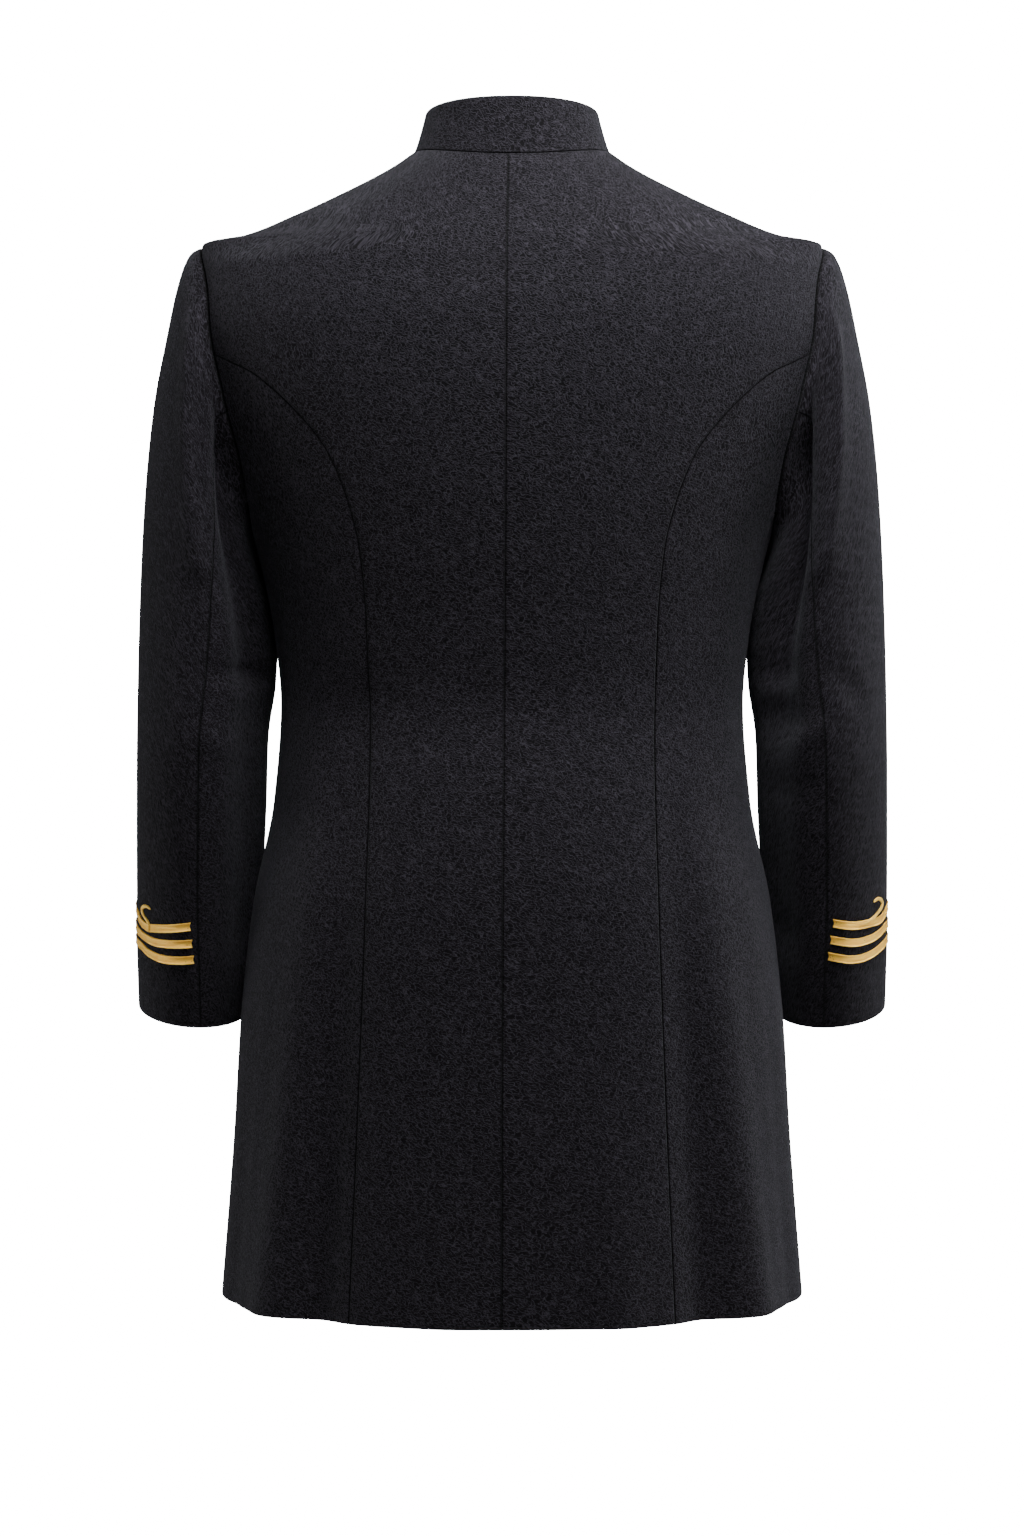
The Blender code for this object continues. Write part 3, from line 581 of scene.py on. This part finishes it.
def front_panel(side, word):
    seam_turn = float(armhole(front_angle)[1])
    levels, edge = body_rows(np.linspace(front_angle, 2 * math.pi, 48),
                             lambda below: np.full(len(below), seam_turn))

    def face(level, turn):
        """The body's face, with the left front lifted over the right one where they lap."""
        outer, normal = body_face(level, side * turn)
        if side > 0:
            lift = smoothstep((lift_starts - outer[..., 0]) / (lift_starts - lift_whole))
            outer = outer + ((cloth + lap_clear) * lift)[..., None] * normal
        return outer, normal

    place = between(levels, edge[:, None], (math.pi + turn_at(levels, overlap))[:, None])
    level, turn, distance = spread(place, face, 88)
    panel = wall(f"front_cloth_{word}", *face(level, turn), distance,
                 cloth_across(side * (turn - math.pi), level), "first_column last_row")
    cloth_piece(panel, f"front_{word}")


for side, word in both_sides:
    front_panel(side, word)

# Sleeves
# Each sleeve is cut in two pieces, a wide top sleeve and a narrower under sleeve, joined by a
# forearm seam and a hindarm seam. It is set into the armhole, bends softly at the elbow towards the
# front and ends in a plain open cuff.

sleeve_rings = table("outer_x outer_z inner_x inner_z back front lean hindarm", (
    (0.2367, -0.0575, 0.1983, -0.28, 0.055, -0.07, 0, 101),
    (0.2445, -0.0606, 0.196, -0.285, 0.0575, -0.073, 0, 100),
    (0.2503, -0.0692, 0.1945, -0.2915, 0.0595, -0.0755, 0, 99.8),
    (0.2562, -0.087, 0.193, -0.299, 0.061, -0.077, 0, 100.4),
    (0.2645, -0.126, 0.19, -0.308, 0.062, -0.078, 0, 102),
    (0.2742, -0.1777, 0.1862, -0.319, 0.0625, -0.079, 0, 103.4),
    (0.2806, -0.24, 0.183, -0.334, 0.0625, -0.079, 0, 101.8),
    (0.2842, -0.305, 0.18, -0.356, 0.0615, -0.078, 0, 99.3),
    (0.2863, -0.37, 0.1815, -0.39, 0.06, -0.077, 0.02, 97.3),
    (0.2875, -0.43, 0.1872, -0.43, 0.058, -0.077, 0.05, 95.2),
    (0.2888, -0.49, 0.1895, -0.485, 0.048, -0.081, 0.11, 94.8),
    (0.2902, -0.548, 0.1935, -0.543, 0.034, -0.088, 0.15, 95.8),
    (0.2912, -0.598, 0.2005, -0.597, 0.022, -0.094, 0.17, 101),
    (0.2912, -0.638, 0.2066, -0.6465, 0.01, -0.1, 0.19, 105.8),
))

# Folds of the sleeves: 1 is on the wearer's left one, -1 on the right one and 0 on both. The turn
# goes round the sleeve from its outermost line by way of the back, and the row is a ring number.
sleeve_folds = table("side turn_0 row_0 turn_1 row_1 width height_0 height_1", (
    (0, 62, 2.8, 88, 6.4, 0.011, 0.0058, 0.0036),
    (-1, 60, 2.9, 88, 6.2, 0.0045, 0.0022, 0.0012),
    (1, 64, 3.2, 88, 5.7, 0.0045, 0.0012, 0.0006),
    (0, 115, 2.2, 138, 7.8, 0.017, -0.016, -0.01),
    (-1, 122, 2.8, 134, 8.6, 0.024, -0.014, -0.008),
    (0, 140, 8.6, 144, 11.5, 0.02, -0.0045, -0.004),
    (1, 106, 8, 150, 7.9, 0.011, -0.0032, -0.003),
    (1, 98, 9, 122, 9.1, 0.011, 0.0022, 0.0015),
    (-1, 66, 8.4, 92, 7.9, 0.009, -0.0026, -0.0015),
    (-1, 142, 7.9, 106, 8.2, 0.013, -0.0012, -0.0006),
    (-1, 99, 8.9, 126, 9.1, 0.01, 0.0024, 0.0014),
    (-1, 112, 9.6, 152, 9.7, 0.012, -0.0014, -0.0006),
    (0, 250, 8, 300, 8.8, 0.014, -0.0035, 0),
    (0, 245, 9.2, 290, 9.6, 0.013, 0.0025, 0),
))
sleeve_radius = 0.058

# How far the sleeve stands off the body's side below the armhole, how far it gives way where the
# arm lies against the waist, and how far it reaches over the skirt at the cuff.
stand_off, give_way, reach_over = 0.0014, 0.0032, 0.009


def ring_value(column, ring):
    return through(np.arange(14, dtype=float), sleeve_rings[column], ring)


def ring_level(ring):
    return (ring_value("outer_z", ring) + ring_value("inner_z", ring)) / 2


def sleeve_ring(ring, angle):
    """A flat ring between its outermost and innermost points: centre + half width x cos(angle)
    across and + half depth x sin(angle) to the back, leaning down towards the back."""
    outer_x, outer_z, inner_x, inner_z, back, front, lean = (
        ring_value(column, ring) for column in list(sleeve_rings)[:7])
    clear = stand_off * (ring > 0.5) - reach_over * smoothstep((ring - 9.5) / 3)
    clear = clear - give_way * np.exp(-(((ring - 5.8) / 1.4) ** 2))
    inner_x = np.maximum(inner_x, section_size("side", inner_z) + clear)
    depth = (back - front) / 2 * np.sin(angle)
    x = (outer_x + inner_x) / 2 + (outer_x - inner_x) / 2 * np.cos(angle)
    z = (outer_z + inner_z) / 2 + (outer_z - inner_z) / 2 * np.cos(angle)
    return np.stack(np.broadcast_arrays(x, (back + front) / 2 + depth, z - lean * depth), -1)


def plain_sleeve(ring, angle):
    """Sleeve rings, eased over the first three so that the start lies on the armhole."""
    start = plain_body(*armhole(angle)) + np.array([0.0007, 0, 0])
    ease = np.clip(1 - ring / 3, 0, 1)[..., None] ** 2
    return sleeve_ring(ring, angle) + ease * (start - sleeve_ring(np.zeros_like(ring), angle))


def on_sleeve(angle, ring):
    return sleeve_radius * np.mod(angle, 2 * math.pi), ring_level(ring)


def sleeve_face(ring, angle, side):
    """Plain sleeve plus its folds, moved along the way out, which is down x round."""
    reach, swing = 0.12, math.radians(1)
    down = plain_sleeve(np.minimum(ring + reach, 13.0), angle)
    down = down - plain_sleeve(np.maximum(ring - reach, 0.0), angle)
    onward = plain_sleeve(ring, angle + swing) - plain_sleeve(ring, angle - swing)
    normal = unit(np.cross(down, onward))
    mine = sleeve_folds["side"] * side >= 0
    folds = {name: values[mine] for name, values in sleeve_folds.items()}
    height = fold_height(folds, on_sleeve, angle, ring) * smoothstep(ring / 1.6)
    return plain_sleeve(ring, angle) + height[..., None] * normal, normal


def sleeve_rows():
    """Ring numbers spaced evenly down the sleeve, closer at the armhole and at the cuff."""
    fine = np.linspace(0, 13, 1301)
    sides = [plain_sleeve(fine, np.full_like(fine, angle)) for angle in (0.0, 1.8, 4.2)]
    lengths = steps_down(np.stack(sides, 1)).mean(1).cumsum()
    return np.interp(with_edges(0, lengths[-1]), lengths, fine)


rings = sleeve_rows()
hindarm = np.radians(ring_value("hindarm", rings))[:, None]


def sleeve_piece(name, side, start, finish, columns):
    """A strip of the sleeve between two seams, given as the armhole angles where it begins and
    ends and its own angles further down."""
    def face(ring, angle):
        return sleeve_face(ring, angle, side)

    ring, angle, distance = spread(between(rings, start, finish), face, columns)
    outer, normal = (grid * (side, 1, 1) for grid in face(ring, angle))
    piece = wall(name, outer, normal, distance, -side * angle * sleeve_radius,
                 "first_row first_column last_column", under=-0.0035 * side)
    return piece, outer, normal


cuff_grids, top_sleeves = {}, {}
for side, word in both_sides:
    top_sleeves[word], *cuff_grids[word] = sleeve_piece(
        f"top_sleeve_cloth_{word}", side, forearm_angle - 2 * math.pi, hindarm, 76)
    under = sleeve_piece(f"under_sleeve_cloth_{word}", side, hindarm, forearm_angle, 44)[0]
    cloth_piece(under, f"under_sleeve_{word}")

# Cuff braid
# Three flat gold braids on each sleeve, woven of gilt thread with a corded edge on both sides. They
# are sewn across the top sleeve and stop just short of its seams, where a few dark tacking stitches
# hold their ends.

braid_width, braid_pitch, lowest_braid, short_in_front = 0.0065, 0.0128, 0.0500, 0.0045
braid_seat, braid_height, sunk = 0.0001, 0.0008, 0.00005

# Where each braid really runs: how far its end stops short of the hindarm seam, and how far it
# rises above an even height over the cuff, at distances from that end. They all run level at last.
braid_course = {(word, band): (short, table("from_end rise", (*rows, (0.3, 0))))
                for word, band, short, rows in (
    ("left", 0, 0.0036, (
        (0, 0.0021), (0.012, 0), (0.026, -0.0013), (0.04, -0.0004), (0.054, 0.002),
        (0.07, 0.0018), (0.095, 0))),
    ("left", 1, 0.0044, (
        (0, 0.0018), (0.0106, 0), (0.0205, -0.0015), (0.034, -0.0027), (0.046, -0.0021),
        (0.06, -0.0013), (0.073, -0.0005), (0.095, 0))),
    ("left", 2, 0.0053, (
        (0, 0.0023), (0.0097, 0), (0.021, -0.0026), (0.033, -0.005), (0.04, -0.0062),
        (0.048, -0.0056), (0.055, -0.004), (0.0615, -0.001), (0.072, 0.0008), (0.095, 0))),
    ("right", 0, 0.002, (
        (0, 0.005), (0.009, 0.0024), (0.0173, 0.0002), (0.0267, -0.0007), (0.038, 0),
        (0.052, 0.0019), (0.067, 0.0028), (0.1, 0))),
    ("right", 1, 0.0033, (
        (0, 0.005), (0.01, 0.0022), (0.0177, 0.0003), (0.0265, -0.0005), (0.036, -0.0004),
        (0.048, 0.0008), (0.06, 0.0024), (0.075, 0.0015), (0.1, 0))),
    ("right", 2, 0.0049, (
        (0, 0.005), (0.0106, 0.0021), (0.018, 0.0005), (0.0263, -0.0003), (0.0344, -0.0008),
        (0.045, -0.0018), (0.055, -0.0004), (0.064, 0.0022), (0.08, 0.0015), (0.1, 0))),
)}
braid_profile = table("across height", (
    (0, 0.1), (0.015, 0.55), (0.045, 0.9), (0.085, 1), (0.125, 0.9), (0.165, 0.66),
    (0.23, 0.66), (0.33, 0.72), (0.5, 0.76), (0.67, 0.72), (0.77, 0.66), (0.835, 0.66),
    (0.875, 0.9), (0.915, 1), (0.955, 0.9), (0.985, 0.55), (1, 0.1),
))
tacking = table("side band from_end up", (
    (1, 2, 0.0016, 0.0022), (1, 1, 0.0014, 0.0026), (1, 1, 0.0035, 0.0027), (1, 0, 0.0014, 0.0021),
    (1, 0, 0.0058, 0.0023), (-1, 2, 0.0022, 0.0042), (-1, 1, 0.0024, 0.0022),
    (-1, 1, 0.0275, 0.004), (-1, 0, 0.0012, 0.0044), (-1, 0, 0.003, 0.0038),
    (-1, 0, 0.0014, 0.0026), (-1, 0, 0.0038, 0.0019),
))


def line_across(outer, normal, heights, up):
    """The cloth at one height above the cuff, from the hindarm seam on: points and ways out in six
    columns, and the distances along them."""
    line = np.array([[np.interp(up, heights[:, j], grid[:, j, k]) for grid in (outer, normal)
                      for k in range(3)] for j in range(outer.shape[1])])
    return line, steps_down(line[:, :3]).cumsum()


def cuff_lines(word):
    """The top sleeve's cloth, turned so that its first row is the cuff and its first column the
    hindarm seam, with the height of every point above the cuff."""
    outer, normal = (grid[::-1, ::-1] for grid in cuff_grids[word])
    return outer[:60], normal[:60], steps_down(outer).cumsum(0)[:60]


line_step = 0.0005


def cuff_map(word):
    """A lookup of the cuff's cloth: its lines at every half millimetre above the cuff."""
    ground = cuff_lines(word)
    heights = np.arange(0.045, 0.1001, line_step)
    return heights, *zip(*(line_across(*ground, up) for up in heights))


def on_cuff(word, along, up):
    """Points and ways out at distances along from the hindarm seam and heights above the cuff,
    blended between the two nearest lines."""
    heights, lines, distances = cuffs[word]
    place = np.clip((up - heights[0]) / line_step, 0, len(heights) - 1.001)
    points, ways = np.zeros((2, len(along), 3))
    for i in np.unique(place.astype(int)):
        here = place.astype(int) == i
        low, high = (np.stack([np.interp(along[here], distances[n], lines[n][:, k])
                               for k in range(6)], -1) for n in (i, i + 1))
        found = low + (high - low) * (place[here] - i)[:, None]
        points[here], ways[here] = found[:, :3], unit(found[:, 3:])
    return points, ways


def braid_bottom(word, band, from_end):
    rise = braid_course[word, band][1]
    return lowest_braid + band * braid_pitch + through(rise["from_end"], rise["rise"], from_end)


def thread_group():
    """Gilt thread: short stitches that slant one way in the lower half of the braid and the other
    way in the upper half, each with a rounded back, over a fine uneven grain."""
    group, given, end = pattern_group("Gilt thread", "Middle")
    place = given["Vector"]
    parts = add_node(group, "SeparateXYZ", {0: place}).outputs
    slant = maths(group, "ABSOLUTE", maths(group, "SUBTRACT", parts["Y"], given["Middle"]))
    stitch = maths(group, "MULTIPLY", maths(group, "ADD", parts["X"], slant), 1 / 0.00105)
    back = maths(group, "ABSOLUTE", maths(group, "SINE", maths(group, "MULTIPLY", stitch, math.pi)))
    height = weighed(group, back, 0.6, noise(group, place, 1300, 2)[0], 0.5)
    shade = weighed(group, height, 0.7, noise(group, place, 190, 1)[0], 0.35)
    feed(group, end, {"Shade": shade, "Height": height})
    return group


gilt_thread = thread_group()


def gilt(name, middle, dark, light):
    material, tree, shader = new_material(name, {"Metallic": 0.50, "Roughness": 0.38})
    threads = patterned(tree, gilt_thread, {"Middle": middle})
    colour = ramp(tree, threads["Shade"], (0.25, dark), (0.85, light))
    cover(tree, shader, colour, threads["Height"], 0.9, 0.0006)
    return material


braid_gold = gilt("Gold braid", braid_width / 2, (1.00, 0.42, 0.024), (1.00, 0.66, 0.095))
tacking_thread = new_material("Tacking thread", {
    "Base Color": (0.075, 0.060, 0.045, 1), "Roughness": 0.8})[0]


def tacking_stitches(side, word):
    """Small dark stitches through the ends of a sleeve's braids, each a flat six-sided dome: a top
    and an oval ring round it."""
    points, faces = [], []
    for k in np.flatnonzero(tacking["side"] == side):
        band, from_end = int(tacking["band"][k]), tacking["from_end"][k:k + 1]
        at, way = on_cuff(word, braid_course[word, band][0] + from_end,
                          braid_bottom(word, band, from_end) + tacking["up"][k])
        level, turn = unit(np.cross(way, (0, 0, 1))), np.arange(6)[:, None] * math.pi / 3
        ring = np.cos(turn) * level + 0.8 * np.sin(turn) * np.cross(level, way)
        first = len(points) + 1
        points += [*(at + 0.00096 * way), *(at + 0.00080 * way + 0.00040 * ring)]
        faces += [(first - 1, first + (j + 1) % 6, first + j) for j in range(6)]
    stitches = piece_from(f"tacking_{word}", points, faces, tacking_thread)
    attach(stitches, "root")
    return stitches


def braid(word, band, name):
    """A strip with the braid's profile, its edges wavering by a tenth of a millimetre."""
    short = braid_course[word, band][0]
    whole = line_across(*cuff_lines(word), lowest_braid + band * braid_pitch)[1][-1]
    length = whole - short - short_in_front
    from_end = np.linspace(0, length, 330)
    outside, inside, places = [], [], []
    for share, tall in zip(braid_profile["across"], braid_profile["height"]):
        waver = 0.00010 * (abs(share - 0.5) > 0.3) * np.sin(from_end * 1900 + 5 * band)
        up = braid_bottom(word, band, from_end) + share * braid_width
        up += waver * np.sin(from_end * 730 + share * 3)
        bulge = 0.00035 * math.cos(2 * math.pi * share) * (1 - from_end / length)
        points, ways = on_cuff(word, short + from_end - bulge, up)
        outside.append(points + (braid_seat + braid_height * tall) * ways)
        inside.append(points + sunk * ways)
        places.append(np.stack([from_end, np.full(len(up), share * braid_width)], -1))
    return shell(name, np.array(outside), np.array(inside), np.array(places), braid_gold)


cuffs = {word: cuff_map(word) for word in cuff_grids}
braids = {"left": [], "right": []}
for side, word in both_sides:
    for band, place in enumerate(("low", "middle", "top")):
        piece = braid(word, band, f"braid_{word}_{place}")
        braids[word].append(fitted(piece, f"band_{word}_{place}"))
    braids[word].append(tacking_stitches(side, word))

# Cuff curls
# A round gilt cord rises from the top braid of each sleeve, thins towards its tip and hooks back
# towards the hindarm seam. On the left sleeve it starts as a small spur below the braid and crosses
# it; on the right one it grows out of the braid's upper edge.

# The cords' paths: distance from the hindarm seam, height above the cuff and share of full width.
curl_paths = {
    "left": table("along up share", (
        (0.0434, 0.0698, 0.15), (0.0431, 0.072, 0.7), (0.0432, 0.0745, 0.8),
        (0.0447, 0.0769, 0.85), (0.0481, 0.0789, 0.95), (0.0522, 0.0807, 1.15),
        (0.0546, 0.0829, 1.3), (0.0546, 0.0851, 1.25), (0.0517, 0.0874, 1.05),
        (0.0477, 0.0886, 0.9), (0.0442, 0.0887, 0.8), (0.0413, 0.0878, 0.55),
    )),
    "right": table("along up share", (
        (0.025, 0.0796, 0.15), (0.0314, 0.0801, 0.45), (0.0381, 0.0809, 0.7), (0.0437, 0.0822, 0.9),
        (0.049, 0.0841, 1), (0.0535, 0.0862, 1.2), (0.0556, 0.0887, 1.35), (0.0541, 0.0915, 1.2),
        (0.0503, 0.0938, 1), (0.0468, 0.0946, 0.9), (0.0437, 0.0943, 0.8), (0.0417, 0.0932, 0.55),
    )),
}
cord_width, cord_height = 0.0028, 0.0012
curl_gold = gilt("Gold cord", -0.02, (1.00, 0.47, 0.040), (1.00, 0.72, 0.15))


def curl(word):
    """A half-round cord: a dome of width x height across its path, pressed flat underneath."""
    knots = curl_paths[word]
    number = np.arange(len(knots["along"]), dtype=float)
    fine = np.linspace(0, number[-1], 120)
    path = np.stack([through(number, knots[name], fine) for name in ("along", "up")], -1)
    for _ in range(12):
        path[1:-1] = (path[:-2] + 2 * path[1:-1] + path[2:]) / 4
    width = cord_width * np.interp(fine, number, knots["share"])
    width *= np.minimum(1, np.sqrt(np.minimum(fine, number[-1] - fine) / 0.35 + 0.03))
    along = unit(np.gradient(path, axis=0))
    across = np.stack([-along[:, 1], along[:, 0]], -1)
    run = steps_down(path).cumsum()
    outside, inside, places = [], [], []
    for turn in np.linspace(0, math.pi, 11):
        place = path - across * (width * math.cos(turn) / 2)[:, None]
        above = place[:, 1] - braid_bottom(word, 2, place[:, 0] - braid_course[word, 2][0])
        on_braid = smoothstep((braid_width + 0.0006 - above) / 0.0012)
        base = braid_seat + braid_height * on_braid * smoothstep(above / 0.0012 + 0.5)
        tall = cord_height * math.sin(turn) * np.minimum(1, width / 0.002)
        points, ways = on_cuff(word, place[:, 0], place[:, 1])
        outside.append(points + (base + tall)[:, None] * ways)
        inside.append(points + (base - sunk)[:, None] * ways)
        places.append(np.stack([run, np.full(len(run), turn * 0.0009)], -1))
    return shell(f"cord_{word}", np.array(outside), np.array(inside), np.array(places), curl_gold)


for side, word in both_sides:
    cord = fitted(curl(word), f"curl_{word}")
    cloth_piece(top_sleeves[word], f"top_sleeve_{word}")

# Collar
# A plain stand collar, one stiffened strip of the same wool round the neck. Its top edge is turned
# in and rounded, and its two ends meet at the centre front.

collar_cloth, collar_top, foot_drop = 0.0028, 0.044, 0.0006
top_side, top_behind, top_in_front, top_slope = 0.0660, 0.064, 0.072, 0.066


def collar_face(share, turn):
    """Between the neck seam and a smaller, higher top ring: foot + (top - foot) x share."""
    foot = plain_body(np.full_like(turn, neck_level), turn) - np.array([0, 0, foot_drop])
    cosine = np.cos(turn)
    depth = np.where(cosine > 0, top_behind, top_in_front)
    top = np.stack([top_side * signed_power(np.sin(turn), 2 / squareness),
                    depth * signed_power(cosine, 2 / squareness),
                    collar_top - np.where(cosine > 0, 0, top_slope) * cosine**2], -1)
    return foot + (top - foot) * np.stack([share**0.8, share**0.8, share], -1)


def stand_collar():
    heights = with_edges(0, 1, edge_steps / collar_top, 20)
    fine = np.linspace(-math.pi, math.pi, 721)
    lengths = steps_down(collar_face(np.full_like(fine, 0.5), fine)).cumsum()
    whole, swing = lengths[-1], 0.01
    wanted = with_edges(0, whole, edge_steps + half_gap)
    share, turn = np.meshgrid(heights, np.interp(wanted, lengths, fine), indexing="ij")
    outer = collar_face(share, turn)
    round_neck = collar_face(share, turn + swing) - collar_face(share, turn - swing)
    normal = unit(np.stack([round_neck[..., 1], -round_neck[..., 0], np.zeros_like(turn)], -1))
    normal *= np.sign(np.sum(normal * outer, -1, keepdims=True))
    distance, across = (np.broadcast_to(row, turn.shape) for row in (
        np.minimum(wanted, whole - wanted), whole / 2 - wanted))
    band = wall("stand_collar", outer, normal, distance, across, "first_row", collar_cloth, 0.0032)
    cloth_piece(band, "collar")


stand_collar()

# Buttons
# Six plain horn buttons down the left front, each turned with a raised rim round a shallow dish and
# four holes, and sewn on with two bars of black thread.

button_levels = (-0.066, -0.157, -0.248, -0.339, -0.430, -0.521)
button_tilts = (7, -4, 11, 2, -9, 5)
hole_at, hole_radius, hole_edge, hole_depth = 0.0021 / math.sqrt(2), 0.00035, 0.00035, 0.0019
button_seat, rim_rows = 0.0006, 19
strand_radius, strand_gap, strand_top, strand_drop = 0.00017, 0.00027, 0.0032, 0.0014
button_side = table("radius height", (
    *((radius, 0.0029) for radius in (0, 0.0006, 0.0012, 0.0016, 0.0020, 0.0024, 0.0028, 0.0032,
                                      0.0036, 0.0040)),
    (0.005, 0.003), (0.0062, 0.0031), (0.0073, 0.0033), (0.0081, 0.0036), (0.0088, 0.004),
    (0.0095, 0.0042), (0.0102, 0.0041), (0.0108, 0.0038), (0.0112, 0.0033), (0.0115, 0.0026),
    (0.0114, 0.0019), (0.0109, 0.0012), (0.01, 0.0006), (0.0085, 0.0002), (0.006, 0), (0, 0),
))


def horn():
    """Polished dark horn: brown-black with drawn-out paler streaks and fine turning scratches."""
    material, tree, shader = new_material("Dark horn", {
        "Coat Weight": 0.25, "Coat Roughness": 0.12})
    where = add_node(tree, "TexCoord").outputs["Object"]
    drawn = add_node(tree, "Mapping", {"Vector": where, "Scale": (420, 900, 130)})
    streaks = noise(tree, drawn.outputs[0], 1.0, 4, "3D")[0]
    rough = add_node(tree, "MapRange", {"Value": streaks, "To Min": 0.22, "To Max": 0.42})
    feed(tree, shader, {"Roughness": rough.outputs[0]})
    colour = ramp(tree, streaks, (0.42, (0.010, 0.0085, 0.0080)), (0.78, (0.055, 0.036, 0.024)))
    cover(tree, shader, colour, streaks, 0.25, 0.0002)
    return material


def black_thread():
    """Waxed sewing thread, its plies slanting round it."""
    material, tree, shader = new_material("Black thread", {"Roughness": 0.55})
    where = add_node(tree, "TexCoord").outputs["Object"]
    plies = add_node(tree, "TexWave", {"Vector": where, "Scale": 900},
                     bands_direction="DIAGONAL").outputs["Fac"]
    colour = ramp(tree, plies, (0, (0.006, 0.006, 0.007)), (1, (0.040, 0.039, 0.042)))
    cover(tree, shader, colour, plies, 0.5, 0.0001)
    return material


button_materials = horn(), black_thread()


def tube_faces(rings, sides, first=0):
    index = first + np.arange(rings * sides).reshape(rings, sides)
    ahead = np.roll(index, -1, axis=1)
    return np.stack([index[:-1], index[1:], ahead[1:], ahead[:-1]], -1).reshape(-1, 4).tolist()


def turned_disc(sides=64):
    """Rings of the turned side, with the four holes pressed into those near the middle:
    height - hole depth x (1 - smoothstep((distance from the hole - its radius) / its edge))."""
    turn = np.arange(sides) * 2 * math.pi / sides
    radius, height = (button_side[name][1:-1, None] for name in ("radius", "height"))
    x, y = radius * np.cos(turn), radius * np.sin(turn)
    away = np.hypot(np.abs(x) - hole_at, np.abs(y) - hole_at)
    facing_out = np.arange(len(radius))[:, None] < rim_rows
    z = height - facing_out * hole_depth * (1 - smoothstep((away - hole_radius) / hole_edge))
    rings = np.stack([x, y, z], -1).reshape(-1, 3)
    points = np.concatenate([rings, [(0, 0, button_side["height"][0]), (0, 0, 0)]])
    last = len(rings) - sides
    faces = tube_faces(len(radius), sides)
    faces += [(len(rings), j, (j + 1) % sides) for j in range(sides)]
    faces += [(len(rings) + 1, last + (j + 1) % sides, last + j) for j in range(sides)]
    return points, faces


def thread_strand(across, top, first):
    """A tube that rises from one hole and goes down the other: a circle of eight points round
    each place hole x reach along it, at the height top - drop x reach to the sixth power."""
    reach = np.linspace(-1, 1, 13)[:, None]
    turn = np.arange(8) * math.pi / 4
    points = np.stack(np.broadcast_arrays(
        across + strand_radius * np.cos(turn), reach * hole_at,
        top - strand_drop * reach**6 + strand_radius * np.sin(turn)), -1)
    return points.reshape(-1, 3), tube_faces(len(reach), len(turn), first)


def button(number, level, tilt):
    points, faces = turned_disc()
    disc_faces = len(faces)
    for bar in (-hole_at, hole_at):
        for strand, rise in ((-strand_gap, 0), (0, 0.00012), (strand_gap, 0)):
            tube, tube_sides = thread_strand(bar + strand, strand_top + rise, len(points))
            points = np.concatenate([points, tube])
            faces += tube_sides
    face, normal = body_face(np.array([level]), np.array([math.pi]))
    way = normal[0]
    sideways = unit(np.cross((0, 0, 1), way))
    up = np.cross(way, sideways)
    sideways, up = (math.cos(tilt) * sideways + math.sin(tilt) * up,
                    math.cos(tilt) * up - math.sin(tilt) * sideways)
    seat = face[0] + (cloth + lap_clear + button_seat) * way
    placed = seat + points @ np.stack([sideways, up, way])
    thing = piece_from(f"horn_button_{number}", placed, faces, *button_materials)
    thing.data.polygons.foreach_set(
        "material_index", (np.arange(len(faces)) >= disc_faces).astype(np.int32))
    thing.data.shade_smooth()
    fitted(thing, f"button_{number}")


for number, (level, tilt) in enumerate(zip(button_levels, button_tilts), 1):
    button(number, level, math.radians(tilt))

# Studio
# A pale floor and a white room with soft lamps above and on both sides, and the camera level with
# the middle of the coat's back, as the photograph shows it.


def white_to_camera(tree, glow_kind, dim, output):
    """Shows plain white to the camera and gives the coat only a dim light."""
    glow = add_node(tree, glow_kind, {"Color": (1, 1, 1, 1), "Strength": 20.0}).outputs[0]
    seen = add_node(tree, "LightPath").outputs["Is Camera Ray"]
    mix = add_node(tree, "MixShader", {"Fac": seen, 1: dim.outputs[0], 2: glow})
    feed(tree, tree.nodes[output], {"Surface": mix.outputs[0]})


def white_room():
    world = bpy.data.worlds.new("Studio")
    world.use_nodes = True
    tree = world.node_tree
    dim = feed(tree, tree.nodes["Background"], {"Color": (1, 1, 1, 1), "Strength": 0.016})
    white_to_camera(tree, "Background", dim, "World Output")
    bpy.context.scene.world = world


def pale_floor():
    material, tree, shader = new_material("Pale floor", {
        "Base Color": (0.8, 0.8, 0.8, 1), "Roughness": 0.9})
    white_to_camera(tree, "Emission", shader, "Material Output")
    corners = [(-6, -6, -1.3), (6, -6, -1.3), (6, 6, -1.3), (-6, 6, -1.3)]
    piece_from("Pale floor", corners, [(0, 1, 2, 3)], material)


def lamp(name, place, aim, size, power):
    data = bpy.data.lights.new(name, "AREA")
    data.shape, data.size, data.size_y, data.energy = "RECTANGLE", size[0], size[1], power
    thing = put_in_scene(name, data)
    thing.location = place
    thing.visible_camera = False
    run = Vector(aim) - Vector(place)
    thing.rotation_euler = run.to_track_quat("-Z", "Y").to_euler()


white_room()
pale_floor()
lamp("Top", (-0.33, 0.60, 0.98), (0, 0, -0.20), (1.0, 0.5), 71)
lamp("Right", (-2.3, -0.30, -0.3), (0, 0, -0.6), (0.7, 1.8), 44)
lamp("Left", (2.3, -0.55, -0.4), (0, 0, -0.60), (0.7, 1.8), 30)

camera = bpy.data.cameras.new("Photograph")
camera.lens, camera.sensor_width = 62.8, 36
eye = put_in_scene("Photograph", camera)
eye.location = (0, 2.05, -0.455)
eye.rotation_euler = (math.radians(90), 0, math.radians(180))
bpy.context.scene.camera = eye
